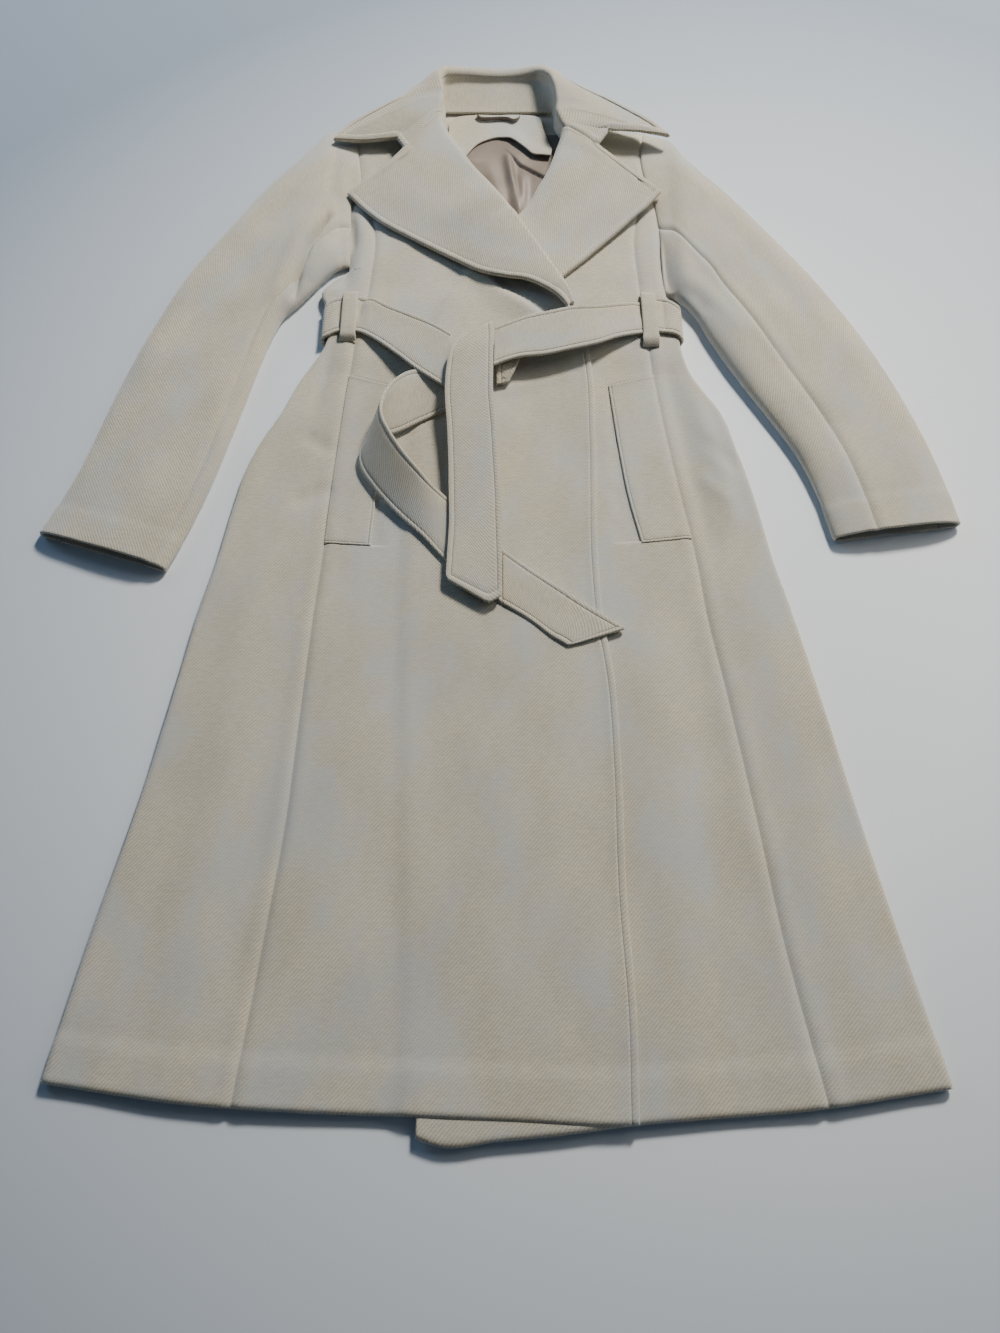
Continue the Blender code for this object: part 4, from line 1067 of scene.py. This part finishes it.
# The facing's upper and lower edge, and the hanger loop's line
Facing = namedtuple("Facing", "x y low_x low_y")
FACING = [
    Facing(-66, 1046, -46, 1042), Facing(-62, 1088, -37, 1058), Facing(-58, 1115, -26, 1073),
    Facing(-30, 1123, -7, 1083), Facing(0, 1123, 5, 1083), Facing(26, 1123, 14, 1080),
    Facing(48, 1118, 29, 1064), Facing(52, 1100, 39, 1053), Facing(57, 1080, 50, 1051),
    Facing(62, 1062, 60, 1050)]
Hanger = namedtuple("Hanger", "x y")
HANGER = [Hanger(-28, 1119), Hanger(-24, 1114), Hanger(-12, 1112.5), Hanger(0, 1113.5),
          Hanger(10, 1112.5), Hanger(17, 1109.5), Hanger(21, 1111.5), Hanger(24, 1117)]
LINING_FOLDS = [
    Fold(4.5, 6.0, ((8, 1062), (13, 1020), (17, 985), (21, 955))),
    Fold(3.5, -1.6, ((12, 1010), (16, 985), (20, 958))),
    Fold(6, 3.5, ((26, 1025), (26, 990), (24, 960))),
    Fold(11, 4.0, ((-18, 1050), (-8, 1010), (4, 972))),
    Fold(8, 2.0, ((-32, 1050), (-24, 1010)))]
# where the lining laps over itself at the left
LINING_LAP = ((6, 1066), (10, 1060), (24, 1038), (50, 1019), (70, 1008))
LAP_HEIGHT = 3.2


def satin():
    finish, shader, place = woven("satin lining", 0.4, 0.1)
    tree = finish.node_tree
    thread = place.noise(2.2, 2, (0.25, 2.2, 1))
    cloud = place.noise(0.03, 2)
    colour = (thread * 0.5 + cloud * 0.5).ramp(0.3, 0.7).colours(SATIN_DEEP, SATIN_LIGHT)
    tree.links.new(colour.output, shader.inputs["Base Color"])
    bump = thread.node("ShaderNodeBump", {}, {"Strength": 0.2, "Distance": 0.0002,
                                              "Height": thread})
    tree.links.new(bump.output, shader.inputs["Normal"])
    return finish


SATIN = satin()
lining_height = BACK + (CLOTH + LINING) / 2 + GAP

v = np.linspace(0, 1, 120)
outline = smooth(FACING, v)
width = np.linalg.norm(outline[:, :2] - outline[:, 2:], axis=1)
d = spread(width, FREE + [2.5], FREE + [2.5], 10)
share = (d / width[:, None])[..., None]
plan = outline[:, None, 2:] + (outline[:, :2] - outline[:, 2:])[:, None] * share
height = lining_height + (CLOTH + LINING) / 2 + GAP
z = (height + LAP_HEIGHT * blend(-8, 26, plan[..., 0]) * (1 - blend(0, 24, d))
     + 0.5 * waves(plan[..., 0] * 3, plan[..., 1] * 3) + 0.5)
cloth("neck_facing", np.concatenate((plan, z[..., None]), axis=2), WOOL, ["back_lining"],
      grain=plan)

x = np.concatenate((np.linspace(-LINING_WIDTH / 2, -42, 10), np.linspace(-40.8, 64, 84),
                    np.linspace(66, LINING_WIDTH / 2, 4)))
y = np.concatenate((np.linspace(LINING_LENGTH[0], 936, 8),
                    np.linspace(938, LINING_LENGTH[1], 100)))
x, y = np.meshgrid(x, y)
lap = nearest(x, y, LINING_LAP)[0] * np.where(y > np.interp(x, *zip(*LINING_LAP)), 1, -1)
over = blend(-0.8, 0.8, lap) * blend(2, 12, x) * (1 - blend(0, 22, lap))
raised = np.maximum(folded(LINING_FOLDS, x, y) * (1 - 0.7 * over), 0) + LAP_HEIGHT * over
z = lining_height + raised * (1 - blend(1050, 1074, y))
cloth("back_lining", np.stack((x, y, z), axis=2), SATIN, ["back_left", "back_right"],
      thickness=LINING, grain=np.stack((x, y), axis=2))

line = smooth(HANGER, np.linspace(0, 1, TAPE_ROWS[0]))
tape = np.stack((np.broadcast_to(line[:, :1], TAPE_ROWS),
                 np.broadcast_to(line[:, 1:], TAPE_ROWS),
                 np.broadcast_to(np.linspace(*HANGER_TAPE, TAPE_ROWS[1]), TAPE_ROWS)), axis=2)
cloth("hanger_loop", tape, SATIN, ["neck_facing"], thickness=LINING)

# ---------------------------------------------------------------- Collar
# The stand rises from the neck seam, leaning out, and the fall is sewn to it a little below the
# roll. The fall turns over and down to its own edge. The leaves in front stand clear of the
# shoulders, and behind the neck the edge rests on the floor. Both ends are sewn to the lapels.
NECK_SEAM = 1127    # where the stand's foot runs across the back of the neck
LEAN = 4.0          # how far the roll's top stands out past the stand's foot
FOOT = 3.9          # the foot's height
STAND_SHARE = 0.86  # of the way from the neck seam to the roll's top
COLLAR_SWELL = 2.2  # what the seam allowances inside the edge add

# The roll's top and the fall's edge, from the right end round the neck to the left one
Collar = namedtuple("Collar", "x y z edge_x edge_y edge_z")
COLLAR = [
    Collar(-70, 1110, 29, -109, 1041, 21), Collar(-70, 1114, 29.5, -122, 1066, 19),
    Collar(-70, 1118, 30, -163, 1062, 17.5), Collar(-70, 1122.5, 30.5, -196, 1064, 17.5),
    Collar(-71, 1127, 31, -184, 1082, 18), Collar(-71, 1135, 32.5, -149, 1110, 20),
    Collar(-72, 1144, 34, -122, 1128, 21), Collar(-73.5, 1153, 35.5, -107, 1148, 18),
    Collar(-69, 1166, 34, -92, 1163, 12), Collar(-46, 1177, 27, -56, 1181, 5.5),
    Collar(-8, 1179, 22.5, -4, 1185, 4.5), Collar(22, 1180, 23, 30, 1185, 5.5),
    Collar(46, 1177, 28.5, 70, 1178, 10), Collar(60, 1160, 35, 90, 1154, 17),
    Collar(66.5, 1140, 35, 111, 1138, 22), Collar(68.5, 1128, 33.5, 132, 1123, 24),
    Collar(69.5, 1118, 32.5, 150, 1109, 24.5), Collar(69.5, 1109, 31.5, 183, 1082, 24),
    Collar(68, 1100, 31, 199, 1063, 24), Collar(70, 1091, 30, 177, 1068, 25),
    Collar(72, 1085, 29.5, 129, 1073, 25), Collar(74, 1080, 29, 114, 1050, 22)]
BACK_SEAM_ROW = 9.6     # the seam down the middle, among the rows above
COLLAR_CORNERS = (1, 3, 18, 20)
COLLAR_ROW = 8          # from one row to the next, about


def collar_outward(v):
    """The roll's top at the shares v, and the level direction out from the neck there. It turns
    to run along the gorge seams at both ends."""
    last = len(COLLAR) - 1
    line = [row[:3] for row in COLLAR]
    run = smooth(line, np.minimum(v + 0.02, 1)) - smooth(line, np.maximum(v - 0.02, 0))
    out = unit(np.stack((-run[:, 1], run[:, 0], np.zeros_like(v)), axis=1))
    to_end = np.minimum(v, 1 - v) * last
    share = np.interp(to_end, range(len(GORGE_SHARES) + 1), (*GORGE_SHARES, 0))[:, None]
    right, left = (unit((row.edge_x - row.x, row.edge_y - row.y, 0))
                   for row in (COLLAR[0], COLLAR[-1]))
    gorge = np.where((v < 0.5)[:, None], right, left)
    return smooth(line, v), unit(gorge * share + out * (1 - share))


last = len(COLLAR) - 1
right_tip, left_tip = COLLAR_CORNERS[1] / last, COLLAR_CORNERS[2] / last
at_ends = np.array(SEWN) / COLLAR_ROW / last
v = np.unique(np.concatenate((at_ends, np.linspace(0, right_tip, 46),
                              np.linspace(right_tip, left_tip, 200),
                              np.linspace(left_tip, 1, 46), 1 - at_ends)))
crest, out = collar_outward(v)
edge = smooth([row[3:] for row in COLLAR], v, COLLAR_CORNERS)
to_end = np.minimum(v, 1 - v) * last
upward = np.array((0, 0, 1.0))
foot = crest - LEAN * out
foot[:, 1] = np.minimum(foot[:, 1], NECK_SEAM)
foot[:, 2] = FOOT
rise = (crest[:, 2:] - FOOT) * upward
run = crest - foot - rise
bend = foot + 0.74 * run + 0.5 * rise
stand = np.hstack((
    bezier(foot, foot + 0.28 * run + 0.1 * rise, foot + 0.56 * run + 0.34 * rise, bend,
           ROLL_STEPS // 2),
    bezier(bend, foot + 0.88 * run + 0.63 * rise, crest - 0.15 * run - 2.5 * out, crest,
           ROLL_STEPS // 2 + 1)[:, 1:]))
reach = np.linalg.norm(edge - crest, axis=1)[:, None]
face = bezier(crest, crest + out * 0.3 * reach,
              edge + 0.35 * (crest - edge) + np.array((0, 0, 1.5)), edge, FACE_STEPS)
paths = np.concatenate((stand, face[:, 1:]), axis=1)
for side, row in (("right", 0), ("left", -1)):
    shift = gorge_sections[side] - paths[row]
    own = (v < 0.5) if side == "right" else (v >= 0.5)
    fade = (1 - blend(0, 4.5, to_end)) * own
    paths = paths + fade[:, None, None] * shift
across = lengths(paths, 1)
joint, width = STAND_SHARE * across[:, ROLL_STEPS - 1], across[:, -1]
along_roll = lengths(paths[:, ROLL_STEPS - 1][None], 1)[0]
from_middle = along_roll - np.interp(BACK_SEAM_ROW / last, v, along_roll)

d = spread(width - joint, SEAMED, STITCHED, 36)
laid = along_rows(paths, joint[:, None] + d)
near = np.minimum(nearest(laid[..., 0], laid[..., 1], edge)[0], (width - joint)[:, None] - d)
share = d / (width - joint)[:, None]
settled = blend(0, 4, to_end)[:, None] * blend(0.3, 0.8, share) * blend(0, 30, near)
laid[..., 2] += (1.3 * waves(laid[..., 0] * 1.5, laid[..., 1] * 1.5 + 90) * settled
                 + blend(0.35, 0.5, share) * stitch_dip(near)
                 - 0.5 * bell(from_middle, 1.6)[:, None] * blend(12, 20, near))
from_gorge = lengths(laid, 0)
from_gorge = np.minimum(from_gorge, from_gorge[-1:] - from_gorge)
laid[..., 2] += gorge_dip(from_gorge) * blend(0.05, 0.2, share)
wall = LAPEL_WALL + COLLAR_SWELL * edge_swell(near) * blend(0.35, 0.5, share)
cloth("collar_fall", laid, WOOL, ["collar_stand", "floor"], thickness=wall,
      sewn=("start", "end", "first"))
shown = (v > 0.006) & (v < 0.994)
stitching("collar_stitching", [inset_line(upper_face(laid, wall)[shown], near[shown])])

d = spread(joint - SEAM_GAP, SEWN + [2, 4], SEAMED, 14)
laid = along_rows(paths, d)
inward = 0.9 * bell(joint[:, None] - d, 2.4) + 0.5 * bell(from_middle, 1.6)[:, None]
laid += out[:, None] * (inward * blend(0, 3, to_end)[:, None])[..., None]
cloth("collar_stand", laid, WOOL, ["back_left", "back_right"], thickness=LAPEL_WALL,
      sewn=("start", "end", "last"))

# ---------------------------------------------------------------- Belt and its carriers
# A two-layer sash, topstitched round its edge. It passes under the back and through a carrier
# at each side, and is tied loosely in front. Each stretch that shows is a piece.
# Each row is a line across the belt, from one edge to the other
Belt = namedtuple("Belt", "ax ay az bx by bz")
BELTS = {
    "belt_back": [
        Belt(-151.5, 806, 1.5, -151.5, 757, 1.5), Belt(151.5, 806, 1.5, 151.5, 757, 1.5)],
    "belt_right": [
        Belt(-152, 806, 1.55, -152, 757, 1.55), Belt(-178, 808, 1.55, -178, 759, 1.55),
        Belt(-183.4, 809, 1.65, -183.4, 761, 1.65), Belt(-187.5, 811, 2.6, -187.5, 763, 2.6),
        Belt(-189.9, 813, 6.4, -189.9, 766, 6.4), Belt(-187.6, 816, 10.4, -187.6, 769, 10.4),
        Belt(-183.4, 820, 11.6, -183.4, 771, 11.6), Belt(-175, 824, 12.2, -175, 775, 12.2),
        Belt(-163, 825, 12.2, -163, 777, 12.2), Belt(-143, 824, 13.2, -149, 774, 12.8),
        Belt(-119, 809, 16, -129, 759, 16), Belt(-96, 795, 19, -106, 737, 19),
        Belt(-74, 781, 22, -87, 717, 22), Belt(-51.5, 762, 25, -47.5, 685, 24.5)],
    "belt_left": [
        Belt(152, 806, 1.55, 152, 757, 1.55), Belt(183, 808, 1.55, 183, 759, 1.55),
        Belt(188.4, 810, 1.65, 188.4, 761, 1.65), Belt(192.5, 811, 2.6, 192.5, 764, 2.6),
        Belt(194.9, 812, 6.4, 194.9, 767, 6.4), Belt(192.6, 814, 10.4, 192.6, 769, 10.4),
        Belt(188.4, 817, 11.6, 188.4, 772, 11.6), Belt(180, 822, 12.2, 180, 774, 12.2),
        Belt(168, 824, 12.2, 167, 775, 12.2), Belt(152, 818, 12.8, 153, 773, 12.8),
        Belt(129, 810, 19, 127, 763, 19), Belt(101.5, 801, 25, 99.5, 747.5, 25),
        Belt(79.5, 798, 27, 72.5, 738.5, 27), Belt(52, 790.5, 27.5, 46, 731, 27.5),
        Belt(27, 784, 27, 20, 728, 27), Belt(10, 777, 26, 8, 724, 27),
        Belt(-5, 771, 24.5, -6.5, 718, 26)],
    "belt_tail": [
        Belt(-39, 726, 16, -12, 738, 16), Belt(-37, 745, 18, -11, 761, 18),
        Belt(-35, 756, 22, -10, 773, 22), Belt(-35, 758, 27, -9, 775, 27.5),
        Belt(-41, 751, 31.5, -8, 771, 32), Belt(-49.5, 736, 34, -7, 755, 34.5),
        Belt(-55, 708, 33, -7, 713, 33.5), Belt(-56, 682, 31, -7, 682, 31.5),
        Belt(-53, 641, 28, -4, 641, 28), Belt(-51, 602, 25, -2, 602, 25),
        Belt(-50, 567, 22, 0, 567, 22), Belt(-49, 532, 20, 1, 528, 20),
        Belt(-50, 501, 19, 2, 482, 19), Belt(-51, 470, 18, 2, 436, 17.5)],
    "belt_loop": [
        Belt(-40, 710, 19, -44, 674, 12.5), Belt(-62, 714, 18.5, -60, 668, 12),
        Belt(-88, 717, 21, -82, 656, 12.2), Belt(-103, 705, 27, -105, 643, 12.2),
        Belt(-112, 688, 33, -122, 638, 12.2), Belt(-117, 671, 37, -132, 632, 12.3),
        Belt(-118, 656, 38.5, -138.5, 622, 12.4), Belt(-115.5, 642, 39, -140.5, 609, 12.4),
        Belt(-109, 628, 38.5, -137.5, 596, 12.4), Belt(-101, 614, 37.3, -128, 580, 12.4),
        Belt(-91, 600, 35, -113, 560, 12.2), Belt(-80, 587, 31.5, -96, 541, 11.8),
        Belt(-67, 573, 25, -73, 518, 12.2), Belt(-51, 560, 17.5, -52, 493, 12.2),
        Belt(-24, 532, 14, -24, 468, 12.2), Belt(2, 506, 12.6, 2, 447, 12.2)],
    "belt_end": [
        Belt(2.3, 505.5, 12.6, 2.3, 446.5, 12.2), Belt(29, 484, 12.2, 28, 429, 12.2),
        Belt(56, 464, 12.2, 48, 412, 12.2), Belt(86, 442, 12.2, 56, 407, 12.2),
        Belt(117, 420, 12.6, 63, 402.5, 12.2)],
    "belt_turn": [
        Belt(-4, 736, 19, 22, 737, 20), Belt(-4, 720, 19, 18, 724, 19.5),
        Belt(-4, 703, 15, 9, 706, 15)],
}
BELT_RESTS = {
    "belt_back": ["floor"], "belt_right": ["side_right", "front_right"],
    "belt_left": ["side_left", "front_right"], "belt_tail": ["belt_right", "belt_loop"],
    "belt_loop": ["front_right"], "belt_end": ["front_right"], "belt_turn": ["belt_left"]}
BELT_INSET = 5.1    # from the belt's edge to its topstitching
BELT_WALL = 3.2
BELT_EDGE = FREE + [2.3, 3.1, 3.9, 4.5, 5.1, 5.7, 6.5, 8]
BELT_STEP = 2.6     # from one row of points to the next, about
BELT_TOP = 11       # a stretch is on the coat's upper side above this height
# where the carriers bunch the belt
BELT_FOLDS = [
    Fold(3.2, -3.0, ((-138, 829), (-149, 818), (-153, 794))),
    Fold(4, 1.2, ((-133, 822), (-142, 806), (-144, 784))),
    Fold(3, -1.6, ((-172, 824), (-172, 780))),
    Fold(3, -2.6, ((147, 829), (151, 820), (152, 792))),
    Fold(4, 0.9, ((142, 815), (143, 776))), Fold(3, -1.4, ((176, 822), (176, 778)))]
# the slanted tips: the share across where the cut starts, and how far back it goes
TIPS = {"belt_tail": (0.76, 9), "belt_end": (0.8, 3)}
TIP_RADIUS = 4

for name, table in BELTS.items():
    long = sum(math.dist(a[:3], b[:3]) for a, b in zip(table, table[1:]))
    v = spread(long, FREE, BELT_EDGE[:-1], max(int(long / BELT_STEP), 8))[0] / long
    rows = smooth(table, v)
    width = np.linalg.norm(rows[:, 3:] - rows[:, :3], axis=1)
    count = 8 if name != "belt_back" else 2
    d = spread(width, BELT_EDGE, BELT_EDGE, count)
    share = d / width[:, None]
    near = np.minimum(d, width[:, None] - d)
    if name in TIPS:
        start, depth = TIPS[name]
        corner = TIP_RADIUS - np.sqrt(np.maximum(
            TIP_RADIUS ** 2 - np.maximum(TIP_RADIUS - near, 0) ** 2, 0))
        cut = (corner + depth * np.maximum(share - start, 0) / (1 - start)) / long
        rows = smooth(table, v[:, None] * (1 - cut))
        near = np.minimum(near, (1 - v)[:, None] * long)
        laid = rows[..., :3] + (rows[..., 3:] - rows[..., :3]) * share[..., None]
    else:
        laid = rows[:, None, :3] + (rows[:, 3:] - rows[:, :3])[:, None] * share[..., None]
    if name != "belt_back":
        laid[..., 2] += stitch_dip(near, BELT_INSET) * 0.9
        if name in ("belt_right", "belt_left"):
            on_top = blend(BELT_TOP - 1, BELT_TOP + 0.5, laid[..., 2])
            laid[..., 2] += on_top * folded(BELT_FOLDS, laid[..., 0], laid[..., 1])
    cloth(name, laid, WOOL, BELT_RESTS[name], thickness=BELT_WALL,
          sewn=() if name in TIPS else ("start", "end"))
    if name not in ("belt_back", "belt_turn"):
        face = upper_face(laid, BELT_WALL)
        shown = laid[:, len(laid[0]) // 2, 2] > BELT_TOP
        stitching(name + "_stitching", [
            inset_line(face[shown], (width[:, None] - d)[shown], BELT_INSET),
            inset_line(face[shown, ::-1], d[shown, ::-1], BELT_INSET)])

# The carriers: narrow folded strips, sewn on above and below the belt
CARRIER_X = {"right": -162, "left": 160.5}
CARRIER_WIDTH = 16
CARRIER_EDGE = FREE + [2.2, 3, 4]
CARRIER_WALL = 2.8
Carrier = namedtuple("Carrier", "y rise")
CARRIERS = {
    "right": [Carrier(765, 2.4), Carrier(766.5, 4.2), Carrier(769.5, 6.6), Carrier(776, 7.6),
              Carrier(800, 7.6), Carrier(820, 7.4), Carrier(828.5, 6.6), Carrier(831.5, 4.2),
              Carrier(833, 2.4)],
    "left": [Carrier(757, 2.4), Carrier(759, 4.4), Carrier(763, 6.8), Carrier(772, 7.6),
             Carrier(800, 7.6), Carrier(820, 7.4), Carrier(827, 6.6), Carrier(830, 4.2),
             Carrier(831.5, 2.4)],
}
for side in OUTWARD:
    y, rise = smooth(CARRIERS[side], np.linspace(0, 1, 70)).T
    flare = CARRIER_WIDTH + 2.0 * (1 - blend(765, 775, y))
    d = spread(flare, CARRIER_EDGE, CARRIER_EDGE, 3)
    x = CARRIER_X[side] - flare[:, None] / 2 + d
    near = np.minimum(d, flare[:, None] - d)
    z = front_height(y)[:, None] + rise[:, None] + 0.4 * bell(near - 5, 4) - 0.5
    cloth("belt_carrier_" + side, np.stack((x, all_across(y, d), z), axis=2), WOOL,
          ["belt_" + side], thickness=CARRIER_WALL)
